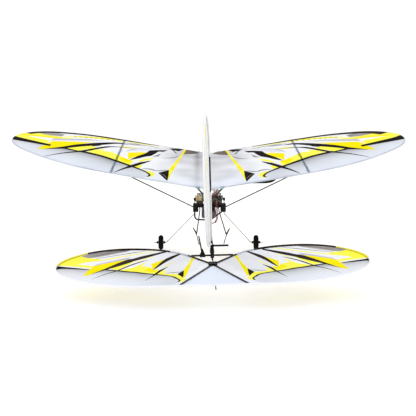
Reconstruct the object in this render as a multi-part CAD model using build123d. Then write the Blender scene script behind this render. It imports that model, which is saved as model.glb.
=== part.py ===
"""Indoor slow-flying model aeroplane: carbon rods, printed film, geared motor, radio-worked tail.

Every piece is made in the boom frame: Y runs forward along the tail boom from the boom's tail end,
X points to the right wing, Z up. At the end the whole aeroplane is put in the attitude in which it
stands on its two wheels and its tail skid. Lengths are millimetres, angles are degrees.
"""
from math import atan2, cos, degrees, radians, sin, tan
import os

from build123d import *

# ---------------------------------------------------------------- driving dimensions

STANCE_ANGLE = 8.0            # nose-up angle of the boom when it stands on wheels and skid
TAIL_END_HEIGHT = 26.2        # height of the boom's tail end above the ground

CARBON_RADIUS = 0.5           # rims, struts and posts
FILM_THICKNESS = 0.12
FILM_GAP = 0.03               # film lies this far off the rods that carry it
GLUE_GAP = 0.02               # clearance between pieces that are glued or pressed together
RUNNING_GAP = 0.05            # clearance between a turning piece and what carries it

BOOM_RADIUS = 1.1
BOOM_BORE = 0.6
BOOM_REAR = 4.0
BOOM_FRONT = 266.0

# wing, measured from the trailing edge at the middle rib
WING_TE_Y = 133.8
WING_TE_Z = 25.0
WING_INCIDENCE = 4.3
WING_DIHEDRAL = 8.0
WING_SPAN_HALF = 189.3        # along the panel
WING_ROOT_LE = 135.0
WING_ROOT_TE = -10.0
MID_RIB_X = 87.0
MID_RIB_RADIUS = 0.4
STRUT_ON_RIB = 22.0           # how far the strut meets the middle rib ahead of the trailing edge
ROOT_CLIP_X = 10.6            # where the pylon struts hold the wing's rims

# tail
TAIL_TWIST = 1.5              # the tail mount sits a little rolled on the boom
PIVOT_Y = -1.5                # elevator hinge line
PIVOT_Z = -1.0
ELEVATOR_TRIM = 3.1           # trailing edge up
ELEVATOR_HALF_SPAN = 108.0
CROSS_JOINT_Y = -30.3         # where the elevator's four arms meet, behind its hinge line
PIVOT_ROD_HALF = 15.2
PIVOT_ROD_RADIUS = 0.65
ELEVATOR_HORN_X = -7.0
ELEVATOR_HORN_LEAN = 9.0      # the horn leans outward by this much
ELEVATOR_HORN_ARM = 8.3
POST_Y = 1.6                  # rudder post, ahead of the elevator hinge
POST_BOTTOM = -5.6
POST_TOP = 70.0
RUDDER_TRIM = 3.8             # turned to the left
RUDDER_FOOT = 8.5
RUDDER_HORN_ARM = 8.7
RUDDER_HORN_Z = 5.3
SKID_RADIUS = 0.4
SKID_FOOT_X = 2.7
SKID_FOOT_Y = -6.0

# undercarriage
WHEEL_RADIUS = 7.5
WHEEL_Y = 255.5
WHEEL_X = 49.0
TYRE_WIDTH = 4.8
HUB_RADIUS = 3.4
HUB_LENGTH = 5.0
GEAR_WIRE_RADIUS = 0.4
GEAR_BEND_X = 43.4
AXLE_END_X = 56.2
COLLAR_LENGTH = 1.6
COLLAR_RADIUS = 1.3

# pod below the wing
POD_Y = 176.0
POD_DEPTH = 7.0
BLOCK_INNER_X = 10.2
BLOCK_OUTER_X = 15.2
BLOCK_TOP = 1.6
BLOCK_BOTTOM = -5.6
BATTERY_SIZE = (13.0, 31.0, 6.4)
BATTERY_CENTRE = (-0.8, 177.5, -6.1)
HOOP_RADIUS = 0.7
SERVO_X = 8.9
SERVO_Y = 199.0
SERVO_LENGTH = 18.0
SERVO_WIDTH = 6.4
SERVO_TOP = 2.6
SERVO_BOTTOM = -2.2
SCREW_RADIUS = 0.5
SCREW_Z = 0.0
CARRIAGE_LENGTH = 3.0
PUSHROD_Z = -5.6
PUSHROD_RADIUS = 0.5
PUSHROD_WIRE_RADIUS = 0.36
PUSHROD_END_Y = 57.0

# drive
SHAFT_Z = 9.3
SHAFT_RADIUS = 0.75
GEAR_MODULE = 0.3
SPUR_TEETH = 51
PINION_TEETH = 9
GEAR_Y = 271.0
SPUR_WIDTH = 2.2
MOTOR_RADIUS = 3.5
MOTOR_REAR = 250.0
MOTOR_FRONT = 265.9
MOTOR_TAG_X = 1.6
PINION_SHAFT_RADIUS = 0.35
BUSH_RADIUS = 1.5
REAR_PLATE_Y = 267.3
FRONT_PLATE_Y = 282.3
PLATE_THICKNESS = 2.6
PROP_Y = 295.0
PROP_RADIUS = 72.0
PROP_TURN = 2.7               # right blade a little down, as it stopped

MESH_ANGLE = -45.0            # the pinion meshes below and to the right of the shaft
GEAR_SPACING = GEAR_MODULE * (SPUR_TEETH + PINION_TEETH) / 2
MOTOR_X = GEAR_SPACING * cos(radians(MESH_ANGLE))
MOTOR_Z = SHAFT_Z + GEAR_SPACING * sin(radians(MESH_ANGLE))

# ---------------------------------------------------------------- helpers


def direction(angle):
    return (cos(radians(angle)), sin(radians(angle)))


def arc_chain(points, start_angle):
    """A smooth planar curve: arcs through the points, each tangent to the one before."""
    pieces = []
    angle = start_angle
    for start, end in zip(points, points[1:]):
        chord = degrees(atan2(end[1] - start[1], end[0] - start[0]))
        turn = (chord - angle + 180) % 360 - 180
        if abs(turn) < 0.05:
            pieces.append(Line(start, end))
        else:
            pieces.append(TangentArc(start, end, tangent=direction(angle)))
        angle += 2 * turn
    return pieces


def tube_on(pieces, radius):
    """A round rod swept along a chain of lines and arcs."""
    path = Wire(pieces)
    return sweep(Plane(origin=path @ 0, z_dir=path % 0) * Circle(radius), path=path)


def rod(start, end, radius):
    """A straight round rod between two points."""
    line = Line(start, end)
    return sweep(Plane(origin=line @ 0, z_dir=line % 0) * Circle(radius), path=line)


def bend_radii(points, share=0.45):
    """The largest even bends that the runs between the points leave room for."""
    radii = []
    for before, corner, after in zip(points, points[1:], points[2:]):
        first = Vector(corner) - Vector(before)
        second = Vector(after) - Vector(corner)
        half_turn = radians(first.get_angle(second) / 2)
        radii.append(share * min(first.length, second.length) / tan(half_turn))
    return radii


def wire(points, radius, bends=None):
    """A wire or lead along straight runs joined by tangent arcs."""
    path = FilletPolyline(*points, radius=bends or bend_radii(points))
    return sweep(Plane(origin=path @ 0, z_dir=path % 0) * Circle(radius), path=path)


def box_between(low, high):
    size = [b - a for a, b in zip(low, high)]
    middle = [(a + b) / 2 for a, b in zip(low, high)]
    return Pos(*middle) * Box(*size)


def along_y(radius, rear, front, x=0.0, z=0.0):
    """A cylinder whose axis runs fore and aft."""
    return Pos(x, (rear + front) / 2, z) * Rot(X=90) * Cylinder(radius, front - rear)


def along_x(radius, left, right, y=0.0, z=0.0):
    return Pos((left + right) / 2, y, z) * Rot(Y=90) * Cylinder(radius, right - left)


def both_sides(piece):
    return Compound([*piece.solids(), *mirror(piece, about=Plane.YZ).solids()])


def main_solid(piece):
    """The largest solid left after a cut."""
    return piece.solids().sort_by(SortBy.VOLUME)[-1]


def gear(teeth, width, bore):
    """A spur gear with straight-flanked teeth, its axis along Z."""
    pitch = GEAR_MODULE * teeth / 2
    root = pitch - 1.2 * GEAR_MODULE
    tip = pitch + 0.9 * GEAR_MODULE
    step = 360 / teeth
    rising = ((root, -0.30), (pitch, -0.225), (tip, -0.11))
    tooth_profile = (*rising, (tip, 0.11), (pitch, 0.225), (root, 0.30))
    outline = []
    for tooth in range(teeth):
        for radius, share in tooth_profile:
            turn = radians((tooth + share) * step)
            outline.append((radius * cos(turn), radius * sin(turn)))
    blank = extrude(make_face(Polyline(*outline, close=True)), width / 2, both=True)
    return blank - Cylinder(bore, width + 1)


# ---------------------------------------------------------------- frames of the wing and tail

incidence = (0, cos(radians(WING_INCIDENCE)), sin(radians(WING_INCIDENCE)))
chord_axis = Vector(*incidence)
span_axis = Vector(cos(radians(WING_DIHEDRAL)), 0, sin(radians(WING_DIHEDRAL)))
span_axis = (span_axis - chord_axis * span_axis.dot(chord_axis)).normalized()
wing_plane = Plane(origin=(0, WING_TE_Y, WING_TE_Z), x_dir=span_axis, z_dir=span_axis.cross(chord_axis))

tail_frame = Rot(Y=-TAIL_TWIST)
elevator_frame = tail_frame * Pos(0, PIVOT_Y, PIVOT_Z) * Rot(X=-ELEVATOR_TRIM)
rudder_frame = tail_frame * Pos(0, POST_Y, 0) * Rot(Z=-RUDDER_TRIM)
rudder_side = Plane(origin=(0, 0, 0), x_dir=(0, -1, 0), z_dir=(-1, 0, 0))

STANCE = Pos(0, 0, TAIL_END_HEIGHT) * Rot(X=STANCE_ANGLE)

axle_height = WHEEL_RADIUS - TAIL_END_HEIGHT - WHEEL_Y * sin(radians(STANCE_ANGLE))
WHEEL_Z = axle_height / cos(radians(STANCE_ANGLE))


def wing_point(x, y, z=0.0):
    """A point of the right wing panel, in the boom frame."""
    return wing_plane.from_local_coords((x, y, z))


# ---------------------------------------------------------------- wing

def wing_outline():
    """Right panel from the root leading edge round the tip to the root trailing edge."""
    start = CARBON_RADIUS + 0.2
    points = [
        (start, WING_ROOT_LE),
        (101.0, 147.5),
        (151.5, 142.0),
        (178.0, 123.0),
        (WING_SPAN_HALF, 88.0),
        (174.0, 48.5),
        (136.0, 17.5),
        (MID_RIB_X, 0.5),
        (start, WING_ROOT_TE),
    ]
    return arc_chain(points, start_angle=9.0)


def film_sheet(edges, side=1):
    """A thin film over the area that the edges close, above the rods or (side -1) below them."""
    face = make_face(Wire(edges).edges())
    return Pos(0, 0, side * (CARBON_RADIUS + FILM_GAP)) * extrude(face, side * FILM_THICKNESS)


def make_wing():
    outline = wing_outline()
    rim = tube_on(outline, CARBON_RADIUS)
    rim_space = tube_on(outline, CARBON_RADIUS + GLUE_GAP)
    root = Line(outline[-1] @ 1, outline[0] @ 0)
    film = film_sheet([*outline, root])
    mid_rib = main_solid(rod((MID_RIB_X, -3, 0), (MID_RIB_X, 152, 0), MID_RIB_RADIUS) - rim_space)

    clips = []
    for y, angle in ((WING_ROOT_LE + 1.65, 9.0), (WING_ROOT_TE + 1.45, 8.0)):
        sleeve = Pos(ROOT_CLIP_X, y, 0) * Rot(Z=angle) * along_x(1.1, -1.8, 1.8)
        clips.append(main_solid(sleeve - rim_space - film))
    rib_sleeve = along_y(1.0, STRUT_ON_RIB - 2, STRUT_ON_RIB + 2, MID_RIB_X)
    film_block = Pos(MID_RIB_X, STRUT_ON_RIB, 2 + CARBON_RADIUS) * Box(6, 6, 4)
    clips.append(main_solid(rib_sleeve - along_y(MID_RIB_RADIUS + GLUE_GAP, 0, 50, MID_RIB_X) - film_block))

    right = {"rim": rim, "film": film, "rib": mid_rib, "clips": Compound(clips)}
    return {name: wing_plane.location * piece for name, piece in right.items()}


wing = make_wing()
wing_clips = both_sides(wing["clips"])
root_rib = rod(
    (0, WING_TE_Y + WING_ROOT_TE * incidence[1], WING_TE_Z + WING_ROOT_TE * incidence[2]),
    (0, WING_TE_Y + WING_ROOT_LE * incidence[1], WING_TE_Z + WING_ROOT_LE * incidence[2]),
    CARBON_RADIUS,
)
wing_ribs = Compound([root_rib.solid(), *both_sides(wing["rib"]).solids()])


# ---------------------------------------------------------------- boom, clamps and struts

REAR_CLAMP_Y = 167.0
FRONT_CLAMP_Y = 232.0
CLAMP_RADIUS = 2.3
CLAMP_LENGTH = 6.0
PYLON_STRUT_RADIUS = 0.7
PYLON_FOOT_Z = 7.0            # the struts meet on a post above the boom

tail_boom = along_y(BOOM_RADIUS, BOOM_REAR, BOOM_FRONT) - along_y(BOOM_BORE, 0, 300)


def pylon_clamp(y):
    """A sleeve glued on the boom with a post whose head holds two struts."""
    sleeve = along_y(CLAMP_RADIUS, y - CLAMP_LENGTH / 2, y + CLAMP_LENGTH / 2)
    post = box_between((-1.2, y - 1.8, 0.4), (1.2, y + 1.8, PYLON_FOOT_Z))
    head = box_between((-2.4, y - 1.8, PYLON_FOOT_Z - 1.3), (2.4, y + 1.8, PYLON_FOOT_Z + 1.3))
    head = fillet(head.edges().filter_by(Axis.Y), 0.6)
    return sleeve + post + head - along_y(BOOM_RADIUS + GLUE_GAP, 0, 300)


def pylon_strut(clamp_y, rim_y, spare=0.0):
    """A strut from the head of the clamp's post up to the wing's rim."""
    return rod((1.2, clamp_y, PYLON_FOOT_Z), wing_point(ROOT_CLIP_X, rim_y, -0.8), PYLON_STRUT_RADIUS + spare)


strut_ends = ((REAR_CLAMP_Y, WING_ROOT_TE + 1.45), (FRONT_CLAMP_Y, WING_ROOT_LE + 1.65))
struts = [both_sides(pylon_strut(*ends)) for ends in strut_ends]
pylon_struts = Compound([solid for pair in struts for solid in (pair - wing_clips).solids() if solid.volume > 5])
strut_space = [both_sides(pylon_strut(*ends, GLUE_GAP)) for ends in strut_ends]
pylon_clamps = Compound([
    main_solid(pylon_clamp(ends[0]) - space) for ends, space in zip(strut_ends, strut_space)
])


def wing_strut(spare=0.0):
    """The right wing's bracing rod, from the pod's side block to the middle rib."""
    foot = Vector(BLOCK_OUTER_X - 1.2, POD_Y, -1.9)
    top = wing_point(MID_RIB_X, STRUT_ON_RIB, -0.6)
    foot -= (top - foot).normalized() * spare
    return rod(foot, top, CARBON_RADIUS + spare)


wing_struts = both_sides(main_solid(wing_strut() - wing["clips"]))


# ---------------------------------------------------------------- pod, battery and undercarriage

def gear_wire(radius):
    """The right leg: cap end above the block, down through it, then out and forward to the axle."""
    points = [
        (13.6, POD_Y + 1.8, 6.2),
        (13.6, POD_Y + 1.8, -8.0),
        (GEAR_BEND_X, WHEEL_Y, WHEEL_Z),
        (AXLE_END_X, WHEEL_Y, WHEEL_Z),
    ]
    return wire(points, radius, bends=[2.5, 1.8])


def hoop(radius):
    """The bow under the battery that keeps it off the ground."""
    y = POD_Y - 1.6
    points = [(-13.6, y, BLOCK_BOTTOM + 2.5), (-13.6, y, -13.1), (1.0, y, -13.5), (12.8, y, -4.6)]
    return wire(points, radius, bends=[3.6, 4.0])


def make_pod_frame():
    """Crossbar clamped on the boom, with a block at each end for the wires and struts."""
    rear = POD_Y - POD_DEPTH / 2
    front = POD_Y + POD_DEPTH / 2
    block = box_between((BLOCK_INNER_X, rear, BLOCK_BOTTOM), (BLOCK_OUTER_X, front, BLOCK_TOP))
    block = fillet(block.edges().filter_by(Axis.Y), 0.7)
    shelf = box_between((-BLOCK_INNER_X - 0.5, rear + 1.5, -1.6), (BLOCK_INNER_X + 0.5, front - 1.5, 1.2))
    sleeve = along_y(2.4, rear, front)
    pod = sleeve + shelf + block + mirror(block, about=Plane.YZ)
    pod -= box_between((-6.6, rear - 1, -3.0), (6.6, front + 1, -1.7))
    pod -= along_y(BOOM_RADIUS + GLUE_GAP, 0, 300)
    pod -= both_sides(gear_wire(GEAR_WIRE_RADIUS + GLUE_GAP))
    pod -= both_sides(wing_strut(GLUE_GAP))
    return main_solid(pod - hoop(HOOP_RADIUS + GLUE_GAP))


def make_battery():
    """A flat lithium cell in its printed wrapper, with rounded long edges."""
    cell = Pos(*BATTERY_CENTRE) * Box(*BATTERY_SIZE)
    cell = fillet(cell.edges().filter_by(Axis.Y), 1.6)
    return fillet(cell.faces().sort_by(Axis.Y)[0].edges(), 0.6)


def wire_collars():
    """Black sleeves: one each side of both wheels and one on the top of each leg."""
    hub_edge = HUB_LENGTH / 2 + 0.3
    starts = (WHEEL_X - hub_edge - COLLAR_LENGTH, WHEEL_X + hub_edge)
    collars = [along_x(COLLAR_RADIUS, x, x + COLLAR_LENGTH, WHEEL_Y, WHEEL_Z) for x in starts]
    cap = Pos(13.6, POD_Y + 1.8, 5.6) * Cylinder(1.0, 2.6)
    cap = fillet(cap.edges().sort_by(Axis.Z)[-1], 0.5)
    right = Compound([main_solid(c - gear_wire(GEAR_WIRE_RADIUS + GLUE_GAP)) for c in (*collars, cap)])
    return both_sides(right)


def make_tyre():
    """A foam tyre with a rounded tread, at the wheel's own centre, axis along X."""
    half = TYRE_WIDTH / 2
    profile = Polyline((half, HUB_RADIUS + 0.02), (-half, HUB_RADIUS + 0.02), (-half, WHEEL_RADIUS - 1.6))
    tread = ThreePointArc((-half, WHEEL_RADIUS - 1.6), (0, WHEEL_RADIUS), (half, WHEEL_RADIUS - 1.6))
    side = Line((half, WHEEL_RADIUS - 1.6), (half, HUB_RADIUS + 0.02))
    return revolve(make_face(profile + tread + side), Axis.X)


def make_hub():
    """A moulded hub: rim, web with six holes and a long boss on the wire axle."""
    rim = along_x(HUB_RADIUS, -TYRE_WIDTH / 2, TYRE_WIDTH / 2) - along_x(HUB_RADIUS - 0.7, -5, 5)
    web = along_x(HUB_RADIUS - 0.5, -0.5, 0.5)
    for spoke in range(6):
        web -= Rot(X=60 * spoke) * along_x(0.55, -2, 2, y=1.9)
    boss = along_x(1.1, -HUB_LENGTH / 2, HUB_LENGTH / 2)
    return main_solid(rim + web + boss - along_x(GEAR_WIRE_RADIUS + RUNNING_GAP, -5, 5))


# ---------------------------------------------------------------- radio, servos and pushrods

BOARD_REAR = 180.5
BOARD_FRONT = 208.5
BOARD_BOTTOM = SERVO_TOP + 0.05
BOARD_THICKNESS = 0.7
BOARD_TOP = BOARD_BOTTOM + BOARD_THICKNESS


def make_board():
    """The radio board: wide over both servos, narrow beside the speed controller."""
    wide = box_between((-13.3, 190.0, BOARD_BOTTOM), (13.3, BOARD_FRONT, BOARD_TOP))
    narrow = box_between((-13.3, BOARD_REAR, BOARD_BOTTOM), (1.6, 190.0, BOARD_TOP))
    board = wide + narrow
    return fillet(board.edges().filter_by(Axis.Z), 0.6)


def make_chips():
    """Black packages and a socket strip soldered on the board."""
    places = (
        # x, y, width, depth, height
        (0.0, 201.0, 5.0, 5.0, 1.0),
        (-4.2, 187.0, 4.0, 4.0, 0.9),
        (7.4, 194.5, 4.4, 3.0, 1.2),
        (-1.2, 193.6, 2.4, 3.2, 1.0),
        (6.6, 206.2, 7.0, 2.4, 2.2),
        (-7.2, 206.4, 5.6, 2.2, 1.8),
    )
    lift = BOARD_TOP + GLUE_GAP
    return Compound([
        box_between((x - w / 2, y - d / 2, lift), (x + w / 2, y + d / 2, lift + h)).solid()
        for x, y, w, d, h in places
    ])


def make_capacitor():
    """The tan block at the board's left rear corner."""
    block = box_between((-13.2, 182.0, BOARD_TOP + GLUE_GAP), (-6.8, 188.6, 6.9))
    return fillet(block.edges().filter_by(Axis.Z), 0.5)


def make_servo_motors():
    """Two small cans lying across the board, one for each servo."""
    motors = []
    for side in (-1, 1):
        can = along_x(2.0, -4.0, 4.0)
        can = fillet(can.edges().filter_by(GeomType.CIRCLE), 0.3)
        tail = along_x(0.8, 4.0, 4.7) if side < 0 else along_x(0.8, -4.7, -4.0)
        motors.append(Pos(side * 7.6, 199.6, BOARD_TOP + 2.0 + 2 * GLUE_GAP) * (can + tail))
    return Compound([motor.solid() for motor in motors])


def servo_housing():
    """The left servo's tray: closed top and sides, open below, with a bearing wall at each end."""
    low = (-SERVO_X - SERVO_WIDTH / 2, SERVO_Y - SERVO_LENGTH / 2, SERVO_BOTTOM)
    high = (-SERVO_X + SERVO_WIDTH / 2, SERVO_Y + SERVO_LENGTH / 2, SERVO_TOP)
    body = box_between(low, high)
    body = fillet(body.edges().filter_by(Axis.Y), 0.4)
    inner_low = (low[0] + 0.8, low[1] + 1.2, low[2] - 1)
    inner_high = (high[0] - 0.8, high[1] - 1.2, high[2] - 0.8)
    return body - box_between(inner_low, inner_high) - along_y(0.35 + RUNNING_GAP, 150, 230, -SERVO_X, SCREW_Z)


def lead_screw():
    """The left servo's screw with its end journals and driven gear."""
    rear = SERVO_Y - SERVO_LENGTH / 2
    front = SERVO_Y + SERVO_LENGTH / 2
    journals = along_y(0.35, rear, front + 3.2, -SERVO_X, SCREW_Z)
    thread = along_y(SCREW_RADIUS, rear + 1.5, front - 1.5, -SERVO_X, SCREW_Z)
    wheel = along_y(2.0, front + 0.6, front + 2.2, -SERVO_X, SCREW_Z)
    return journals + thread + wheel


def carriage():
    """The left servo's nut with the arm that the pushrod hooks into."""
    half = CARRIAGE_LENGTH / 2
    nut = box_between((-SERVO_X - 2.1, SERVO_Y - half, -1.4), (-SERVO_X + 2.1, SERVO_Y + half, 1.4))
    arm = box_between((-SERVO_X - 1.0, SERVO_Y - half, -7.0), (-SERVO_X + 1.0, SERVO_Y - half + 1.4, -1.0))
    arm = fillet(arm.edges().filter_by(Axis.Y).group_by(Axis.Z)[0], 0.8)
    nut -= along_y(SCREW_RADIUS + RUNNING_GAP, 150, 230, -SERVO_X, SCREW_Z)
    return nut + arm - along_y(PUSHROD_RADIUS + GLUE_GAP, 150, 230, -SERVO_X, PUSHROD_Z)


def pushrod_rod(end_x, end_z):
    """Carbon pushrod from the carriage's arm back towards the tail."""
    front = (-SERVO_X, SERVO_Y + 1.0, PUSHROD_Z)
    straight = (-SERVO_X, SERVO_Y - 22, PUSHROD_Z)
    return wire([front, straight, (end_x, PUSHROD_END_Y, end_z)], PUSHROD_RADIUS, bends=[60])


def kinked_wire(start, kink, end, apex):
    """Steel wire with the V bend that sets the pushrod's length."""
    before = (kink[0], kink[1] + 3.0, kink[2])
    after = (kink[0], kink[1] - 3.0, kink[2])
    return wire([start, before, apex, after, end], PUSHROD_WIRE_RADIUS, bends=[0.7, 0.7, 0.7])


def pushrods():
    """Both control runs: elevator on the left, rudder on the right."""
    left_end = (-11.2, 2.6)
    right_end = (11.4, 2.0)
    rods = [
        pushrod_rod(*left_end),
        mirror(pushrod_rod(-right_end[0], right_end[1]), about=Plane.YZ),
    ]
    horn_hole_x = ELEVATOR_HORN_X - ELEVATOR_HORN_ARM * tan(radians(ELEVATOR_HORN_LEAN))
    horn_tip = tail_frame * Pos(horn_hole_x - 1.0, PIVOT_Y + 0.4, PIVOT_Z + ELEVATOR_HORN_ARM)
    arm_tip = tail_frame * Pos(RUDDER_HORN_ARM, POST_Y + 1.1, RUDDER_HORN_Z + 1.2)
    wires = []
    for (x, z), tip, side in ((left_end, horn_tip, -1), (right_end, arm_tip, 1)):
        start = (x, PUSHROD_END_Y - 0.3, z)
        kink = (x, PUSHROD_END_Y - 9.0, z + 0.02)
        apex = (x + side * 3.2, kink[1], z + 6.2)
        end = tuple(tip.position)
        wires.append(kinked_wire(start, kink, end, apex))
    return rods, wires


def make_speed_controller():
    """A small board in shrink tube, leaning down to the right beside the boom."""
    body = Box(8.2, 7.6, 5.6)
    body = fillet(body.edges().filter_by(Axis.Y), 0.9)
    return Pos(6.4, 184.6, 0.6) * Rot(Y=35) * body


# ---------------------------------------------------------------- drive

def make_gearbox_frame():
    """Moulded nose piece: boom socket, motor ring, and two plates that carry the shaft."""
    half = PLATE_THICKNESS / 2
    plate_foot = -3.0
    rear_face = REAR_PLATE_Y + half
    frame = along_y(2.3, 253.0, rear_face)
    frame += along_y(MOTOR_RADIUS + 1.0, 257.0, rear_face, MOTOR_X, MOTOR_Z)
    frame += box_between((0, 257.0, MOTOR_Z - 2.2), (MOTOR_X, rear_face, MOTOR_Z + 2.2))
    for y in (REAR_PLATE_Y, FRONT_PLATE_Y):
        frame += along_y(2.6, y - half, y + half, z=SHAFT_Z)
        frame += box_between((-2.6, y - half, plate_foot), (2.6, y + half, SHAFT_Z))
    frame += box_between((-2.6, REAR_PLATE_Y, plate_foot), (2.6, FRONT_PLATE_Y, plate_foot + 2.0))
    frame -= along_y(BOOM_RADIUS + GLUE_GAP, 200, BOOM_FRONT + 0.05)
    frame -= along_y(MOTOR_RADIUS + GLUE_GAP, 200, MOTOR_FRONT + 0.05, MOTOR_X, MOTOR_Z)
    frame -= along_y(0.9, 200, rear_face + 1, MOTOR_X, MOTOR_Z)
    frame -= along_y(BUSH_RADIUS, 200, 300, z=SHAFT_Z)
    return frame


def make_bushings():
    bushings = []
    for y in (REAR_PLATE_Y, FRONT_PLATE_Y):
        bush = along_y(BUSH_RADIUS - GLUE_GAP, y - 1.5, y + 1.5, z=SHAFT_Z)
        bushings.append(main_solid(bush - along_y(SHAFT_RADIUS + 0.03, 200, 310, z=SHAFT_Z)))
    return Compound(bushings)


def make_motor_cap():
    """The motor's rear cap with its two solder tags."""
    cap = along_y(3.2, MOTOR_REAR - 1.6, MOTOR_REAR - GLUE_GAP, MOTOR_X, MOTOR_Z)
    for side in (-1, 1):
        x = MOTOR_X + side * MOTOR_TAG_X
        low = (x - 0.5, MOTOR_REAR - 3.0, MOTOR_Z - 0.2)
        high = (x + 0.5, MOTOR_REAR - 1.0, MOTOR_Z + 0.2)
        cap += box_between(low, high)
    return cap


def make_motor():
    can = along_y(MOTOR_RADIUS, MOTOR_REAR, MOTOR_FRONT, MOTOR_X, MOTOR_Z)
    can = fillet(can.edges().filter_by(GeomType.CIRCLE), 0.4)
    return can - along_y(PINION_SHAFT_RADIUS + RUNNING_GAP, 258, 300, MOTOR_X, MOTOR_Z)


def make_spur():
    """The big gear, a tooth turned to the pinion."""
    spur = Rot(X=90) * Rot(Z=MESH_ANGLE) * gear(SPUR_TEETH, SPUR_WIDTH, SHAFT_RADIUS + GLUE_GAP)
    return Pos(0, GEAR_Y, SHAFT_Z) * spur


def make_pinion():
    """The small gear on the motor's shaft, a gap turned to the big gear."""
    half_tooth = 180 / PINION_TEETH
    small = Rot(X=90) * Rot(Z=MESH_ANGLE + 180 + half_tooth) * gear(PINION_TEETH, 3.0, 0.3)
    shaft = along_y(PINION_SHAFT_RADIUS, 259, GEAR_Y + 1.5, MOTOR_X, MOTOR_Z)
    return Pos(MOTOR_X, GEAR_Y, MOTOR_Z) * small + shaft


def make_propeller():
    """Two twisted blades on a round hub."""
    stations = (
        # radius, chord, thickness, pitch angle
        (2.0, 4.6, 2.4, 52),
        (14.0, 10.0, 1.7, 40),
        (34.0, 15.5, 1.2, 25),
        (56.0, 13.5, 0.9, 17),
        (68.0, 10.0, 0.8, 14),
        (PROP_RADIUS, 5.0, 0.6, 13),
    )
    sections = []
    for radius, chord, thickness, pitch in stations:
        sections.append(Pos(radius, 0, 0) * Rot(X=-pitch) * Rot(Y=90) * Ellipse(thickness / 2, chord / 2))
    blade = Rot(X=90) * loft(sections)
    hub = along_y(3.0, -3.2, 2.6)
    nose = Pos(0, 2.6, 0) * Sphere(3.0)
    nose -= along_y(5, -6, 2.6)
    prop = hub + nose + blade + Rot(Y=180) * blade
    prop -= along_y(SHAFT_RADIUS + GLUE_GAP, -5, 3.0)
    return Pos(0, PROP_Y, SHAFT_Z) * Rot(Y=PROP_TURN) * prop


# ---------------------------------------------------------------- tail

def make_tail_mount():
    """Moulded block on the boom's end with the bearings of both tail surfaces."""
    mount = along_y(1.6, 2.6, 13.0)
    mount += box_between((-1.3, -3.4, -2.6), (1.3, 4.2, 2.0))
    mount += Pos(0, POST_Y, 1.0) * Cylinder(1.05, 6.4)
    mount += Pos(0, POST_Y + 2.6, -2.4) * Box(2.4, 2.4, 2.4)
    mount -= along_y(BOOM_RADIUS + GLUE_GAP, BOOM_REAR - 0.05, 20)
    mount -= Pos(0, POST_Y, 0) * Cylinder(CARBON_RADIUS + RUNNING_GAP, 40)
    mount -= along_x(PIVOT_ROD_RADIUS + RUNNING_GAP, -5, 5, PIVOT_Y, PIVOT_Z)
    return main_solid(tail_frame * mount - skid(SKID_RADIUS + GLUE_GAP))


def skid(radius):
    """The wire that the tail stands on, from the mount down and aft to the ground."""
    top = tail_frame * Pos(0, POST_Y + 2.6, -2.0)
    foot_z = (-TAIL_END_HEIGHT - SKID_FOOT_Y * sin(radians(STANCE_ANGLE))) / cos(radians(STANCE_ANGLE))
    foot_z += SKID_RADIUS
    return rod(tuple(top.position), (SKID_FOOT_X, SKID_FOOT_Y, foot_z), radius)


def make_skid():
    """Skid wire with a rounded foot that touches the ground."""
    foot_z = (-TAIL_END_HEIGHT - SKID_FOOT_Y * sin(radians(STANCE_ANGLE))) / cos(radians(STANCE_ANGLE))
    foot = Pos(SKID_FOOT_X, SKID_FOOT_Y, foot_z + SKID_RADIUS / cos(radians(STANCE_ANGLE))) * Sphere(SKID_RADIUS)
    return skid(SKID_RADIUS) + foot


def elevator_outline():
    """Right half from the cross joint along the front arm, round the tip, to the centre."""
    joint = (0.6, CROSS_JOINT_Y + 1.2)
    shoulder = (15.5, -1.5)
    arm_angle = degrees(atan2(shoulder[1] - joint[1], shoulder[0] - joint[0]))
    points = [
        joint,
        shoulder,
        (33.0, 19.5),
        (62.0, 31.0),
        (90.0, 20.5),
        (104.5, -2.5),
        (ELEVATOR_HALF_SPAN, -22.5),
        (98.0, -55.5),
        (73.0, -80.5),
        (40.0, -90.0),
        (0.05, -90.5),
    ]
    return arc_chain(points, start_angle=arm_angle)


def make_elevator():
    """The flying tailplane, in its own hinge frame."""
    outline = elevator_outline()
    joint = Pos(0, CROSS_JOINT_Y, 0) * (
        Rot(Z=62) * Box(9.0, 2.0, 2.2) + Rot(Z=-62) * Box(9.0, 2.0, 2.2)
    )
    rim_space = tube_on(outline, CARBON_RADIUS + GLUE_GAP)
    rear_arm = rod((0.5, CROSS_JOINT_Y - 1.2, 0), (22.5, -91.5, 0), CARBON_RADIUS)
    rear_space = rod((0.4, CROSS_JOINT_Y - 0.9, 0), (22.5, -91.5, 0), CARBON_RADIUS + GLUE_GAP)
    rear_arm = main_solid(rear_arm - rim_space)
    closing = Line(outline[-1] @ 1, outline[0] @ 0)
    film = film_sheet([*outline, closing], side=-1)
    film = film - Pos(0, CROSS_JOINT_Y, 0) * Box(1.0, 1.0, 10)
    joint -= both_sides(rim_space + rear_space)
    joint -= Pos(0, 0, -1 - CARBON_RADIUS) * Box(300, 300, 2)
    rods = [*both_sides(tube_on(outline, CARBON_RADIUS)).solids(), *both_sides(rear_arm).solids()]
    pivot = along_x(PIVOT_ROD_RADIUS, -PIVOT_ROD_HALF, PIVOT_ROD_HALF)
    pivot = main_solid(pivot - both_sides(rim_space))
    return {
        "elevator_rods": Compound(rods),
        "elevator_joint": main_solid(joint),
        "elevator_film": both_sides(film),
        "elevator_pivot_rod": pivot,
    }


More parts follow.
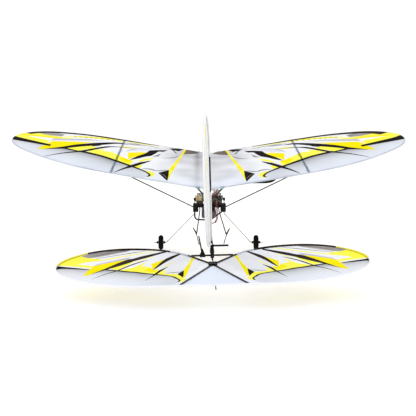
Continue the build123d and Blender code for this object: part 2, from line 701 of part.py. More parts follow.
def elevator_horn():
    """A tapered plate with a gusset, clamped on the pivot rod, with a row of holes for the pushrod."""
    foot = along_x(1.3, -2.0, 2.0)
    outline = Polyline((-2.0, 0), (2.0, 0), (0.7, 14.6), (-0.7, 14.6), (-2.0, 0))
    plate = extrude(Plane.YZ * make_face(outline), 0.45, both=True)
    for height in (6.4, ELEVATOR_HORN_ARM, 10.2, 12.1):
        plate -= along_x(0.35, -3, 3, 0, height)
    gusset = Polyline((-2.0, 0), (2.0, 0), (0.3, 5.0), (-0.3, 5.0), (-2.0, 0))
    plate = Rot(Y=-ELEVATOR_HORN_LEAN) * plate + extrude(Plane.XZ * make_face(gusset), 0.5, both=True)
    horn = Rot(X=ELEVATOR_TRIM) * (foot + plate) - along_x(PIVOT_ROD_RADIUS + GLUE_GAP, -5, 5)
    return Pos(ELEVATOR_HORN_X, 0, 0) * horn


def rudder_outline():
    """From the top of the post round the trailing edge to the foot of the post."""
    points = [
        (0.0, POST_TOP),
        (10.0, 93.0),
        (40.0, 101.8),
        (61.0, 88.0),
        (67.0, 60.0),
        (59.0, 32.0),
        (36.0, 14.0),
        (8.0, RUDDER_FOOT),
        (0.0, RUDDER_FOOT),
    ]
    return arc_chain(points[:-1], start_angle=90) + [Line(points[-2], points[-1])]


def make_rudder():
    """The rudder in its own post frame."""
    outline = rudder_outline()
    rim = tube_on(outline[:-1], CARBON_RADIUS)
    closing = Line(outline[-1] @ 1, outline[0] @ 0)
    film = rudder_side.location * film_sheet([*outline, closing])
    post = rod((0, 0, POST_BOTTOM), (0, 0, POST_TOP - 0.05), CARBON_RADIUS)
    arm = box_between((0, -0.9, RUDDER_HORN_Z - 0.5), (12.0, 0.9, RUDDER_HORN_Z + 0.5))
    arm = fillet(arm.edges().filter_by(Axis.Z).group_by(Axis.X)[-1], 0.8)
    for reach in (6.7, RUDDER_HORN_ARM, 10.7):
        arm -= Pos(reach, 0, RUDDER_HORN_Z) * Cylinder(0.35, 3)
    horn = arm + Pos(0, 0, RUDDER_HORN_Z) * Cylinder(1.35, 1.8)
    horn = Rot(Z=RUDDER_TRIM) * horn - Cylinder(CARBON_RADIUS + GLUE_GAP, 40)
    return {
        "rudder_rim": rudder_side.location * rim,
        "rudder_film": film,
        "rudder_post": post,
        "rudder_horn": horn,
    }


# ---------------------------------------------------------------- leads

LEAD_RADIUS = 0.4


def battery_lead(shift):
    """A lead from the speed controller back over the crossbar, down and round to the battery's rear."""
    dx, dy, dz = shift
    points = [
        (6.3, 180.7, 2.6),
        (6.6, 175.6, 4.0),
        (6.2, 170.6, 1.4),
        (6.0, 168.6, -4.6),
        (6.6, 166.6, -10.2),
        (4.6, 164.2, -14.2),
        (0.6, 161.4, -14.0),
        (-1.4, 159.0, -9.8),
        (-1.2, 161.5, -6.2),
    ]
    moved = [(x + dx, y + dy, z + dz) for x, y, z in points[1:-1]]
    first = (points[0][0] + dx, points[0][1], points[0][2] + dz)
    last = (points[-1][0] + dx, points[-1][1], points[-1][2] + dz)
    return wire([first, *moved, last], LEAD_RADIUS)


def motor_lead(shift, tag_side):
    """A lead that loops up from the board, over the servo's motor, then down and forward to a motor tag."""
    dx, dy, dz = shift
    points = [
        (3.6, 191.8, BOARD_TOP + GLUE_GAP),
        (3.8, 190.4, 7.6),
        (6.2, 189.0, 10.2),
        (9.6, 191.2, 10.6),
        (11.2, 198.0, 9.4),
        (10.8, 206.0, 8.4),
        (9.2, 214.0, 4.4),
        (7.4, 226.0, -2.2),
    ]
    moved = [(x + dx, y + dy, z + dz) for x, y, z in points[1:]]
    first = (points[0][0] + dx, points[0][1] + dy, points[0][2])
    tag = (MOTOR_X + tag_side * MOTOR_TAG_X, MOTOR_REAR - 3.1, MOTOR_Z)
    return wire([first, *moved, tag], LEAD_RADIUS)


def servo_lead(start, rise, end):
    """A thin lead that stands up in a bow over the board between two solder points."""
    middle = [(a + b) / 2 for a, b in zip(start, end)]
    points = [
        start,
        (start[0] * 0.85 + middle[0] * 0.15, start[1] - 0.6, start[2] + 0.62 * rise),
        (middle[0], middle[1] - 1.6, start[2] + rise),
        (end[0] * 0.85 + middle[0] * 0.15, end[1] - 0.4, end[2] + 0.6 * rise),
        end,
    ]
    return wire(points, 0.3)


def make_servo_leads():
    base = BOARD_TOP + GLUE_GAP
    bows = (
        ((-2.4, 197.2, base), 8.4, (-6.2, 192.0, base)),
        ((2.6, 197.6, base), 6.8, (8.6, 191.4, base)),
        ((-5.2, 189.6, base), 6.2, (-1.8, 188.8, base)),
        ((1.0, 186.4, base), 7.4, (0.2, 191.4, base)),
    )
    return Compound([servo_lead(*bow).solid() for bow in bows])


nodes = {}


def add(name, piece):
    nodes[name] = piece


add("tail_boom", tail_boom)
add("tail_mount", make_tail_mount())
add("tail_skid", make_skid())
add("pod_frame", make_pod_frame())
add("pylon_clamps", pylon_clamps)
add("pylon_struts", pylon_struts)
add("wing_clips", wing_clips)
add("wing_rim_right", wing["rim"])
add("wing_rim_left", mirror(wing["rim"], about=Plane.YZ))
add("wing_ribs", wing_ribs)
add("wing_film_right", wing["film"])
add("wing_film_left", mirror(wing["film"], about=Plane.YZ))
add("wing_struts", wing_struts)
add("gear_wire_right", gear_wire(GEAR_WIRE_RADIUS))
add("gear_wire_left", mirror(gear_wire(GEAR_WIRE_RADIUS), about=Plane.YZ))
add("wire_collars", wire_collars())
add("battery", make_battery())
add("battery_pad", box_between((-5.0, 172.9, -2.84), (5.0, 179.1, -1.76)))
add("battery_hoop", hoop(HOOP_RADIUS))
add("battery_lead_red", battery_lead((0, 0, 0)))
add("battery_lead_black", battery_lead((1.1, -0.9, 0.5)))
add("motor_lead_red", motor_lead((0, 0, 0), -1))
add("motor_lead_blue", motor_lead((1.0, 1.0, 1.1), 1))
add("servo_leads", make_servo_leads())
add("receiver_board", make_board())
add("board_chips", make_chips())
add("board_capacitor", make_capacitor())
add("servo_motors", make_servo_motors())
for name, piece in make_elevator().items():
    add(name, elevator_frame * piece)
add("elevator_horn", elevator_frame * elevator_horn())
for name, piece in make_rudder().items():
    add(name, rudder_frame * piece)
for side, sign in (("left", -1), ("right", 1)):
    add(f"tyre_{side}", Pos(sign * WHEEL_X, WHEEL_Y, WHEEL_Z) * make_tyre())
    add(f"hub_{side}", Pos(sign * WHEEL_X, WHEEL_Y, WHEEL_Z) * make_hub())
for name, maker in (("servo_housing", servo_housing), ("lead_screw", lead_screw), ("carriage", carriage)):
    add(f"{name}_left", maker())
    add(f"{name}_right", mirror(maker(), about=Plane.YZ))
rods, wires = pushrods()
add("elevator_pushrod", rods[0])
add("rudder_pushrod", rods[1])
add("elevator_pushrod_wire", wires[0])
add("rudder_pushrod_wire", wires[1])
add("speed_controller", make_speed_controller())
add("gearbox_frame", make_gearbox_frame())
add("shaft_bushings", make_bushings())
add("motor_can", make_motor())
add("motor_cap", make_motor_cap())
add("propeller", make_propeller())
add("spur_gear", make_spur())
add("pinion", make_pinion())
add("prop_shaft", along_y(SHAFT_RADIUS, 264.5, PROP_Y + 2.8, z=SHAFT_Z))

os.makedirs("parts", exist_ok=True)
placed = {name: STANCE * piece for name, piece in nodes.items()}
whole = Compound([solid for piece in placed.values() for solid in piece.solids()]).bounding_box()
centre = Pos(-(whole.min.X + whole.max.X) / 2, -(whole.min.Y + whole.max.Y) / 2, -whole.min.Z)
for name, piece in placed.items():
    solids = (centre * piece).solids()
    export_step(Compound(solids) if len(solids) > 1 else solids[0], f"parts/{name}.step")
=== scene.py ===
"""Looks of the indoor slow-flying model aeroplane: printed film, carbon, wire, foam and electronics.

Places on a surface are in that surface's own millimetres: on the wing, x runs out along the panel and y
forward from the trailing edge at the middle rib; on the tailplane, x runs out from the centre and y
forward from the boom's tail end; on the rudder, x runs aft from the post and y up it.
"""
from math import atan2, cos, dist, exp, hypot, pi, radians, sin

import bpy
from mathutils import Matrix, Vector, noise
from mathutils.geometry import delaunay_2d_cdt


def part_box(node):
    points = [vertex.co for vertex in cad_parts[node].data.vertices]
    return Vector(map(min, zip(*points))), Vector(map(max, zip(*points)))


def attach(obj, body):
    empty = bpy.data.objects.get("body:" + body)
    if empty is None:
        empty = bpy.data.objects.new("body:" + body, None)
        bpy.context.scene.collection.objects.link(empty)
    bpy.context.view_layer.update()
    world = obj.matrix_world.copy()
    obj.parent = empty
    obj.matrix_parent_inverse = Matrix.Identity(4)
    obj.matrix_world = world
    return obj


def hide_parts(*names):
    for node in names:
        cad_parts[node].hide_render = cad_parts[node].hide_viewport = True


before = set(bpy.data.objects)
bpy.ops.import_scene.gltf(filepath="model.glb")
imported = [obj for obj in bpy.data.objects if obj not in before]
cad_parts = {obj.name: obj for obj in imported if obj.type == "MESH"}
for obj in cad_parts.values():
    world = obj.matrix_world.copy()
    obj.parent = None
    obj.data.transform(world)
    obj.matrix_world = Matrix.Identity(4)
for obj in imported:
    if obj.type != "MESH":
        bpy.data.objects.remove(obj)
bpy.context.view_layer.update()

MM = 0.001

# ---------------------------------------------------------------- frames of the surfaces

STANCE_ANGLE = radians(8.0)         # boom, nose up on its wheels
TAIL_END_HEIGHT = 26.2              # boom's tail end above the ground
WHEEL_RADIUS = 7.5
WHEEL_Y = 255.5                     # axles, forward of the boom's tail end
WING_INCIDENCE = radians(4.3)
WING_DIHEDRAL = radians(8.0)
WING_ORIGIN = (0, 133.8, 25.0)      # where both panels' own frames start
TAIL_ROLL = radians(-1.5)           # the tail mount sits a little twisted on the boom
PIVOT_Y = -1.5                      # elevator's pivot rod
PIVOT_Z = -1.0
ELEVATOR_TRIM = radians(-3.1)
POST_Y = 1.6                        # rudder's post
RUDDER_TRIM = radians(-3.8)

FILM_LIFT = 0.54                    # underside of the film above the middle of the rods
FILM_THICKNESS = 0.09
HEM_RADIUS = 0.58
RIPPLE_HEIGHT = 0.10

wheel_z = (WHEEL_RADIUS - TAIL_END_HEIGHT - WHEEL_Y * sin(STANCE_ANGLE)) / cos(STANCE_ANGLE)
wheel_low, wheel_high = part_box("tyre_left")
wheel_y_now = (wheel_low[1] + wheel_high[1]) / 2 / MM
centre_shift = wheel_y_now - (WHEEL_Y * cos(STANCE_ANGLE) - wheel_z * sin(STANCE_ANGLE))
stance = Matrix.Translation((0, centre_shift, TAIL_END_HEIGHT)) @ Matrix.Rotation(STANCE_ANGLE, 4, "X")


def wing_matrix(side):
    """Right panel's frame for side 1, and its mirror image for side -1."""
    chord = Vector((0, cos(WING_INCIDENCE), sin(WING_INCIDENCE)))
    span = Vector((cos(WING_DIHEDRAL), 0, sin(WING_DIHEDRAL)))
    span = (span - chord * span.dot(chord)).normalized()
    normal = span.cross(chord)
    matrix = Matrix((span, chord, normal)).transposed().to_4x4()
    matrix = Matrix.Translation(WING_ORIGIN) @ matrix
    return Matrix.Diagonal((side, 1, 1, 1)) @ matrix


tail_matrix = Matrix.Rotation(TAIL_ROLL, 4, "Y")
pivot_matrix = tail_matrix @ Matrix.Translation((0, PIVOT_Y, PIVOT_Z))
elevator_matrix = pivot_matrix @ Matrix.Rotation(ELEVATOR_TRIM, 4, "X")
elevator_print = elevator_matrix @ Matrix.Translation((0, -PIVOT_Y, 0))
side_on = Matrix(((0, 0, -1), (-1, 0, 0), (0, 1, 0))).to_4x4()
post_matrix = tail_matrix @ Matrix.Translation((0, POST_Y, 0))
rudder_matrix = post_matrix @ Matrix.Rotation(RUDDER_TRIM, 4, "Z") @ side_on


def to_row(matrix, point):
    """A point of a surface's own frame, in metres of the row frame."""
    return stance @ matrix @ Vector(point) * MM


# ---------------------------------------------------------------- flat curves

def tangent_arcs(points, start_angle, step=3.0):
    """Points along arcs through the given ones, each arc tangent to the one before it."""
    angle = radians(start_angle)
    path = [points[0]]
    for start, end in zip(points, points[1:]):
        dx = end[0] - start[0]
        dy = end[1] - start[1]
        length = hypot(dx, dy)
        turn = (atan2(dy, dx) - angle + pi) % (2 * pi) - pi
        count = max(2, round(length / step))
        for i in range(1, count + 1):
            share = i / count
            if abs(turn) < 0.001:
                path.append((start[0] + dx * share, start[1] + dy * share))
                continue
            radius = length / (2 * sin(turn))
            swept = angle + 2 * turn * share
            path.append((
                start[0] + radius * (sin(swept) - sin(angle)),
                start[1] + radius * (cos(angle) - cos(swept)),
            ))
        angle += 2 * turn
    return path


def between(before, start, end, after, t):
    """One coordinate of the smooth curve from start to end, a share t of the way."""
    slope = (end - before) * t
    square = (2 * before - 5 * start + 4 * end - after) * t * t
    cube = (3 * start - before - 3 * end + after) * t ** 3
    return 0.5 * (2 * start + slope + square + cube)


def smooth(points, per_run=5):
    """A smooth curve through the points."""
    if len(points) < 3:
        return list(points)
    ends = [points[0], *points, points[-1]]
    curve = [points[0]]
    for run in zip(ends, ends[1:], ends[2:], ends[3:]):
        for i in range(1, per_run + 1):
            curve.append(tuple(between(*values, i / per_run) for values in zip(*run)))
    return curve


SAME_POINT = 0.05


def shape(*edges):
    """A closed outline; each edge runs smoothly through its points to the first point of the next edge."""
    outline = []
    for edge, after in zip(edges, edges[1:] + edges[:1]):
        for point in smooth([*edge, after[0]]):
            if not outline or dist(point, outline[-1]) > SAME_POINT:
                outline.append(point)
    if dist(outline[0], outline[-1]) < SAME_POINT:
        outline.pop()
    return outline


def stroke(points, widths):
    """The outline of a line whose width changes evenly between the given widths."""
    path = smooth(points)
    left = []
    right = []
    for i, (x, y) in enumerate(path):
        before = path[max(i - 1, 0)]
        after = path[min(i + 1, len(path) - 1)]
        heading = atan2(after[1] - before[1], after[0] - before[0])
        place = i / (len(path) - 1) * (len(widths) - 1)
        low = min(int(place), len(widths) - 2)
        width = widths[low] + (widths[low + 1] - widths[low]) * (place - low)
        reach = max(width, 0.1) / 2
        left.append((x - reach * sin(heading), y + reach * cos(heading)))
        right.append((x + reach * sin(heading), y - reach * cos(heading)))
    return left + right[::-1]


def beside(path, inset):
    """The path moved sideways to its right."""
    moved = []
    for i, (x, y) in enumerate(path):
        before = path[max(i - 1, 0)]
        after = path[min(i + 1, len(path) - 1)]
        heading = atan2(after[1] - before[1], after[0] - before[0])
        moved.append((x + inset * sin(heading), y - inset * cos(heading)))
    return moved


def signed_distance(point, path):
    """Distance to a path, positive on its right-hand side."""
    best = 1e9
    side = 1
    for a, b in zip(path, path[1:]):
        dx = b[0] - a[0]
        dy = b[1] - a[1]
        along = ((point[0] - a[0]) * dx + (point[1] - a[1]) * dy) / (dx * dx + dy * dy)
        along = min(max(along, 0), 1)
        gap = hypot(point[0] - a[0] - along * dx, point[1] - a[1] - along * dy)
        if gap < best:
            best = gap
            side = 1 if (point[0] - a[0]) * dy - (point[1] - a[1]) * dx > 0 else -1
    return side * best


def signed_area(outline):
    """Area of an outline, positive when it runs anticlockwise."""
    pairs = zip(outline, outline[1:] + outline[:1])
    return sum(a[0] * b[1] - b[0] * a[1] for a, b in pairs) / 2


# ---------------------------------------------------------------- materials

def linear(red, green, blue):
    """A colour given in 0-255 as a shader wants it."""
    parts = []
    for value in (red, green, blue):
        share = value / 255
        parts.append(share / 12.92 if share <= 0.04045 else ((share + 0.055) / 1.055) ** 2.4)
    return (*parts, 1)


class Paint:
    """A small builder for node materials."""

    def __init__(self, name):
        self.material = bpy.data.materials.new(name)
        self.material.use_nodes = True
        self.tree = self.material.node_tree
        self.tree.nodes.clear()
        self.out = self.add("ShaderNodeOutputMaterial")
        self.coords = self.add("ShaderNodeTexCoord").outputs["Object"]

    def add(self, kind, **settings):
        node = self.tree.nodes.new(kind)
        for key, value in settings.items():
            setattr(node, key, value)
        return node

    def link(self, source, target):
        self.tree.links.new(source, target)

    def scaled(self, scale):
        mapping = self.add("ShaderNodeMapping")
        mapping.inputs["Scale"].default_value = scale
        self.link(self.coords, mapping.inputs["Vector"])
        return mapping.outputs["Vector"]

    def noise(self, scale, stretch=(1, 1, 1), detail=4.0):
        node = self.add("ShaderNodeTexNoise")
        node.inputs["Scale"].default_value = scale
        node.inputs["Detail"].default_value = detail
        self.link(self.scaled(stretch), node.inputs["Vector"])
        return node.outputs["Fac"]

    def ramp(self, factor, low, high, start=0.3, end=0.7):
        node = self.add("ShaderNodeValToRGB")
        node.color_ramp.elements[0].position = start
        node.color_ramp.elements[0].color = low
        node.color_ramp.elements[1].position = end
        node.color_ramp.elements[1].color = high
        self.link(factor, node.inputs["Fac"])
        return node.outputs["Color"]

    def mix(self, factor, first, second, blend="MIX"):
        node = self.add("ShaderNodeMix", data_type="RGBA", blend_type=blend)
        sockets = (node.inputs["Factor"], node.inputs[6], node.inputs[7])     # 6 and 7 are the colours
        for socket, value in zip(sockets, (factor, first, second)):
            if isinstance(value, (int, float, tuple)):
                socket.default_value = value
            else:
                self.link(value, socket)
        return node.outputs[2]

    def bump(self, height, strength, distance):
        node = self.add("ShaderNodeBump")
        node.inputs["Strength"].default_value = strength
        node.inputs["Distance"].default_value = distance
        self.link(height, node.inputs["Height"])
        return node.outputs["Normal"]

    def shader(self, colour, roughness, normal=None):
        node = self.add("ShaderNodeBsdfPrincipled")
        for name, value in (("Base Color", colour), ("Roughness", roughness), ("Normal", normal)):
            if value is None:
                continue
            if isinstance(value, (int, float, tuple)):
                node.inputs[name].default_value = value
            else:
                self.link(value, node.inputs[name])
        return node

    def finish(self, shader):
        self.link(shader.outputs[0], self.out.inputs["Surface"])
        return self.material


INK_STRENGTH = 0.94                     # keeps the white film just below the brightness of the backdrop
PAINTED_ROD_SHADOW_TINT = (0.12, 0.17, 0.26)        # what is left of an ink's red, green and blue where a rod's shadow is painted in front of it
SKY_TINT = (206, 226, 255)
DULL = 1.04                             # refractive index of the film: next to no mirror glare
LOW_GLARE = 1.2                         # and of black mouldings, which stay black at a glancing angle
WHITE = (1, 1, 1, 1)
BLACK = (0, 0, 0, 1)


def set_socket(node, name, value):
    node.inputs[name].default_value = value


def attribute(paint, name):
    """A tone that is stored at the film's vertices."""
    node = paint.add("ShaderNodeAttribute", attribute_name=name)
    return node.outputs["Fac"]


def level(value):
    """A grey of the given value, as a ramp wants it."""
    return (value, value, value, 1)


def dimmed(colour, *shares):
    """The colour with its red, green and blue scaled."""
    return (*(value * share for value, share in zip(colour, shares)), 1)


def film_ink(name, colour, fleck, depth=0.10, airbrush=1.0, share_through=0.1):
    """Printed film with a dull sheen: faint streaks, airbrushed grey, painted shade of folds where a panel
    has them, and painted shadows of the rods that show through.
    """
    colour = dimmed(colour, INK_STRENGTH, INK_STRENGTH, INK_STRENGTH)
    fleck = dimmed(fleck, INK_STRENGTH, INK_STRENGTH, INK_STRENGTH)
    paint = Paint(name)
    streak = paint.noise(35, (1.0, 0.18, 1.0), 2.0)
    mottled = paint.mix(paint.ramp(streak, BLACK, WHITE), colour, fleck)
    grey = dimmed(colour, depth, depth, depth)
    # the stored grey is printed airbrushing, and on the left panel also the painted shade of folds
    amount = paint.add("ShaderNodeMath", operation="MULTIPLY")
    paint.link(attribute(paint, "shade"), amount.inputs[0])
    amount.inputs[1].default_value = airbrush
    shaded = paint.mix(amount.outputs[0], mottled, grey)
    cool = paint.mix(attribute(paint, "sky"), shaded, linear(*SKY_TINT), "MULTIPLY")
    # painted shadow of a rod under the film: the ink dimmed to blue-grey where the through tone is stored
    behind = dimmed(colour, *PAINTED_ROD_SHADOW_TINT)
    lined = paint.mix(attribute(paint, "through"), cool, behind)
    wrinkle = paint.noise(28, (1.0, 0.5, 1.0), 1.0)
    normal = paint.bump(wrinkle, 0.15, 0.0006)
    rough = paint.ramp(paint.noise(180), level(0.45), level(0.6))
    gloss = paint.shader(lined, rough, normal)
    set_socket(gloss, "IOR", DULL)
    glow = paint.add("ShaderNodeBsdfTranslucent")
    paint.link(lined, glow.inputs["Color"])
    both = paint.add("ShaderNodeMixShader")
    set_socket(both, "Fac", share_through)
    paint.link(gloss.outputs[0], both.inputs[1])
    paint.link(glow.outputs[0], both.inputs[2])
    return paint.finish(both)


def grained(name, colour, fleck, roughness, grain=900, depth=0.00003, metallic=0.0, coat=0.0, ior=1.45):
    """A moulded or drawn surface with fine grain, rubbed patches and uneven gloss."""
    paint = Paint(name)
    patches = paint.noise(90, detail=5.0)
    tone = paint.mix(paint.ramp(patches, BLACK, WHITE), colour, fleck)
    rough = paint.ramp(paint.noise(260), level(roughness * 0.8), level(min(1, roughness * 1.2)))
    normal = paint.bump(paint.noise(grain, detail=6.0), 0.5, depth)
    shader = paint.shader(tone, rough, normal)
    set_socket(shader, "Metallic", metallic)
    set_socket(shader, "Coat Weight", coat)
    set_socket(shader, "IOR", ior)
    return paint.finish(shader)


def carbon_rod(name):
    """Pultruded rod: fibres along its length under a satin resin skin."""
    paint = Paint(name)
    fibre = paint.noise(1400, (0.25, 0.25, 0.25), 8.0)
    tone = paint.ramp(fibre, linear(10, 10, 11), linear(40, 40, 43), 0.35, 0.8)
    rough = paint.ramp(paint.noise(700), level(0.25), level(0.5))
    normal = paint.bump(fibre, 0.4, 0.00003)
    shader = paint.shader(tone, rough, normal)
    set_socket(shader, "IOR", 1.18)
    return paint.finish(shader)


def foam(name):
    """Closed-cell foam with fine open pores."""
    paint = Paint(name)
    cells = paint.add("ShaderNodeTexVoronoi")
    set_socket(cells, "Scale", 1800)
    paint.link(paint.coords, cells.inputs["Vector"])
    tone = paint.ramp(cells.outputs["Distance"], linear(6, 6, 6), linear(28, 27, 26), 0.1, 0.8)
    normal = paint.bump(cells.outputs["Distance"], 0.8, 0.0001)
    shader = paint.shader(tone, 0.9, normal)
    set_socket(shader, "IOR", 1.1)
    return paint.finish(shader)


def clear_tube(name):
    """Bluish clear tubing, cloudy where it is cut and glued."""
    paint = Paint(name)
    cloud = paint.noise(500, detail=3.0)
    tone = paint.ramp(cloud, linear(132, 164, 186), linear(198, 218, 232))
    rough = paint.ramp(cloud, level(0.12), level(0.45))
    shader = paint.shader(tone, rough, paint.bump(cloud, 0.3, 0.00005))
    set_socket(shader, "Transmission Weight", 0.35)
    return paint.finish(shader)


def banded_leads(name):
    """Thin leads of several colours lying side by side across the board."""
    paint = Paint(name)
    split = paint.add("ShaderNodeSeparateXYZ")
    paint.link(paint.coords, split.inputs[0])
    spread = paint.add("ShaderNodeMapRange")
    set_socket(spread, "From Min", -0.007)
    set_socket(spread, "From Max", 0.009)
    paint.link(split.outputs["X"], spread.inputs["Value"])
    bands = paint.add("ShaderNodeValToRGB")
    bands.color_ramp.interpolation = "CONSTANT"
    bands.color_ramp.elements[0].color = linear(90, 170, 172)
    bands.color_ramp.elements[1].position = 0.28
    bands.color_ramp.elements[1].color = linear(224, 214, 196)
    for place, colour in ((0.42, (200, 42, 46)), (0.66, (70, 150, 160)), (0.8, (206, 60, 70))):
        bands.color_ramp.elements.new(place).color = linear(*colour)
    paint.link(spread.outputs["Result"], bands.inputs["Fac"])
    scuffs = paint.ramp(paint.noise(700), BLACK, WHITE)
    tone = paint.mix(scuffs, bands.outputs["Color"], linear(236, 226, 214))
    mixed = paint.mix(0.25, bands.outputs["Color"], tone)
    normal = paint.bump(paint.noise(1200), 0.4, 0.00003)
    return paint.finish(paint.shader(mixed, 0.4, normal))


def circuit_board(name):
    """Solder mask over a grid of tracks, with bright round pads."""
    paint = Paint(name)
    tracks = paint.add("ShaderNodeTexBrick")
    set_socket(tracks, "Scale", 420)
    set_socket(tracks, "Color1", linear(22, 40, 34))
    set_socket(tracks, "Color2", linear(28, 58, 44))
    set_socket(tracks, "Mortar", linear(60, 96, 70))
    set_socket(tracks, "Mortar Size", 0.03)
    paint.link(paint.coords, tracks.inputs["Vector"])
    pads = paint.add("ShaderNodeTexVoronoi")
    set_socket(pads, "Scale", 700)
    paint.link(paint.coords, pads.inputs["Vector"])
    mask = paint.ramp(pads.outputs["Distance"], WHITE, BLACK, 0.16, 0.2)
    tone = paint.mix(mask, tracks.outputs["Color"], linear(205, 200, 180))
    normal = paint.bump(pads.outputs["Distance"], 0.3, 0.00004)
    return paint.finish(paint.shader(tone, 0.35, normal))


def wrapped_cell(name):
    """Shrink wrapper: dark and glossy, with fine crinkles along the cell."""
    paint = Paint(name)
    crinkle = paint.noise(350, (1.0, 0.25, 1.0), 6.0)
    tone = paint.ramp(crinkle, linear(24, 24, 27), linear(66, 66, 72), 0.35, 0.8)
    normal = paint.bump(crinkle, 0.6, 0.0002)
    shader = paint.shader(tone, 0.3, normal)
    set_socket(shader, "Coat Weight", 0.5)
    return paint.finish(shader)


def hook_and_loop(name):
    """Dark woven loops, matt with a soft sheen."""
    paint = Paint(name)
    loops = paint.add("ShaderNodeTexVoronoi")
    set_socket(loops, "Scale", 2600)
    paint.link(paint.coords, loops.inputs["Vector"])
    tone = paint.ramp(loops.outputs["Distance"], linear(48, 47, 46), linear(12, 12, 12), 0.1, 0.6)
    normal = paint.bump(loops.outputs["Distance"], 1.0, 0.0002)
    shader = paint.shader(tone, 0.95, normal)
    set_socket(shader, "Sheen Weight", 0.4)
    return paint.finish(shader)


INKS = {
    "white": film_ink("film_white", linear(247, 249, 253), linear(242, 244, 250)),
    "lilac": film_ink("film_lilac", linear(206, 206, 222), linear(192, 192, 208)),
    "silver": film_ink("film_silver", linear(172, 168, 168), linear(146, 140, 140)),
    "taupe": film_ink("film_taupe", linear(154, 144, 136), linear(112, 103, 96), 0.3),
    "umber": film_ink("film_umber", linear(62, 50, 46), linear(36, 28, 27), 0.2),
    "yellow": film_ink("film_yellow", linear(255, 236, 0), linear(255, 242, 0), airbrush=0.1),
    "pale": film_ink("film_pale", linear(255, 250, 66), linear(255, 251, 100), airbrush=0.1),
    "black": film_ink("film_black", linear(20, 14, 14), linear(32, 25, 24), 0.5),
    "mist": film_ink("film_mist", linear(236, 236, 244), linear(226, 228, 238)),
    "cream": film_ink("film_cream", linear(253, 252, 224), linear(250, 249, 210)),
}
INK_ORDER = list(INKS)

HEM_LIGHT = film_ink("hem_light", linear(224, 229, 238), linear(192, 200, 216))
HEM_DARK = film_ink("hem_dark", linear(66, 56, 52), linear(38, 32, 30), 0.5)
HEM_YELLOW = film_ink("hem_yellow", linear(250, 238, 70), linear(255, 248, 130))
HEM_WHITE = film_ink("hem_white", linear(252, 253, 255), linear(246, 248, 253))

CARBON = carbon_rod("carbon_rod")
MOULDED = grained("black_moulding", linear(12, 12, 13), linear(28, 28, 30), 0.5, ior=LOW_GLARE)
STEEL = grained("drawn_steel", linear(120, 117, 112), linear(165, 162, 156), 0.35, metallic=0.8)
BLACK_WIRE = grained("blackened_wire", linear(34, 33, 32), linear(62, 60, 58), 0.5, ior=1.25)
SLEEVE = grained("rubber_sleeve", linear(12, 12, 12), linear(26, 26, 26), 0.8, ior=LOW_GLARE)
TYRE = foam("foam_tyre")
HUB = grained("hub_moulding", linear(16, 16, 17), linear(36, 36, 38), 0.5, ior=LOW_GLARE)
WRAP = wrapped_cell("cell_wrapper")
PAD = hook_and_loop("hook_and_loop")
LEAD_RED = grained("lead_red", linear(196, 40, 40), linear(226, 96, 92), 0.35, coat=0.3)
LEAD_BLACK = grained("lead_black", linear(24, 24, 25), linear(48, 48, 50), 0.4, coat=0.3)
LEAD_BLUE = grained("lead_blue", linear(64, 128, 158), linear(118, 172, 190), 0.35, coat=0.3)
SERVO_LEADS = banded_leads("servo_leads_mixed")
BOARD = circuit_board("circuit_board")
CHIPS = grained("chip_packages", linear(30, 30, 32), linear(54, 54, 56), 0.55)
TAN = grained("tan_moulding", linear(224, 188, 132), linear(244, 216, 164), 0.5)
CAN = grained("drawn_can", linear(176, 176, 178), linear(214, 214, 214), 0.28, metallic=0.9)
BRASS = grained("turned_brass", linear(196, 158, 88), linear(222, 190, 120), 0.3, metallic=0.9)
NYLON = grained("white_nylon", linear(222, 220, 212), linear(238, 236, 230), 0.45)
CONTROLLER = grained("shrink_tube", linear(44, 36, 32), linear(96, 84, 74), 0.4, grain=500, depth=0.0001)
PROP = grained("prop_moulding", linear(16, 16, 17), linear(34, 34, 36), 0.35, ior=LOW_GLARE)
SMOKED = grained("smoked_moulding", linear(84, 76, 66), linear(120, 110, 96), 0.5, ior=1.3)
CLIP = clear_tube("clear_tube")

PAINTED_NODES = (
    (CARBON, "tail_boom tail_skid pylon_struts wing_rim_left wing_rim_right wing_ribs wing_struts"),
    (CARBON, "elevator_rods elevator_pivot_rod rudder_rim rudder_post elevator_pushrod rudder_pushrod"),
    (MOULDED, "tail_mount pod_frame pylon_clamps gearbox_frame elevator_joint elevator_horn rudder_horn"),
    (STEEL, "gear_wire_left gear_wire_right prop_shaft"),
    (BLACK_WIRE, "elevator_pushrod_wire rudder_pushrod_wire"),
    (CLIP, "wing_clips"),
    (SLEEVE, "wire_collars battery_hoop"),
    (WRAP, "battery"),
    (PAD, "battery_pad"),
    (LEAD_RED, "battery_lead_red motor_lead_red"),
    (LEAD_BLACK, "battery_lead_black"),
    (LEAD_BLUE, "motor_lead_blue"),
    (SERVO_LEADS, "servo_leads"),
    (BOARD, "receiver_board"),
    (CHIPS, "board_chips"),
    (TAN, "board_capacitor"),
    (CONTROLLER, "speed_controller"),
    (SMOKED, "servo_housing_left servo_housing_right"),
    (CAN, "servo_motors motor_can"),
    (BRASS, "shaft_bushings pinion lead_screw_left lead_screw_right"),
    (NYLON, "motor_cap spur_gear carriage_left carriage_right"),
    (TYRE, "tyre_left tyre_right"),
    (HUB, "hub_left hub_right"),
    (PROP, "propeller"),
)

for paint_used, nodes in PAINTED_NODES:
    for node_name in nodes.split():
        slots = bpy.data.objects[node_name].data.materials
        for index in range(len(slots)):
            slots[index] = paint_used

# ---------------------------------------------------------------- outlines of the surfaces

WING_OUTLINE = tangent_arcs(
    [(0.7, 135.0), (101.0, 147.5), (151.5, 142.0), (178.0, 123.0), (189.3, 88.0), (174.0, 48.5),
     (136.0, 17.5), (87.0, 0.5), (0.7, -10.0)],
    start_angle=9.0,
)

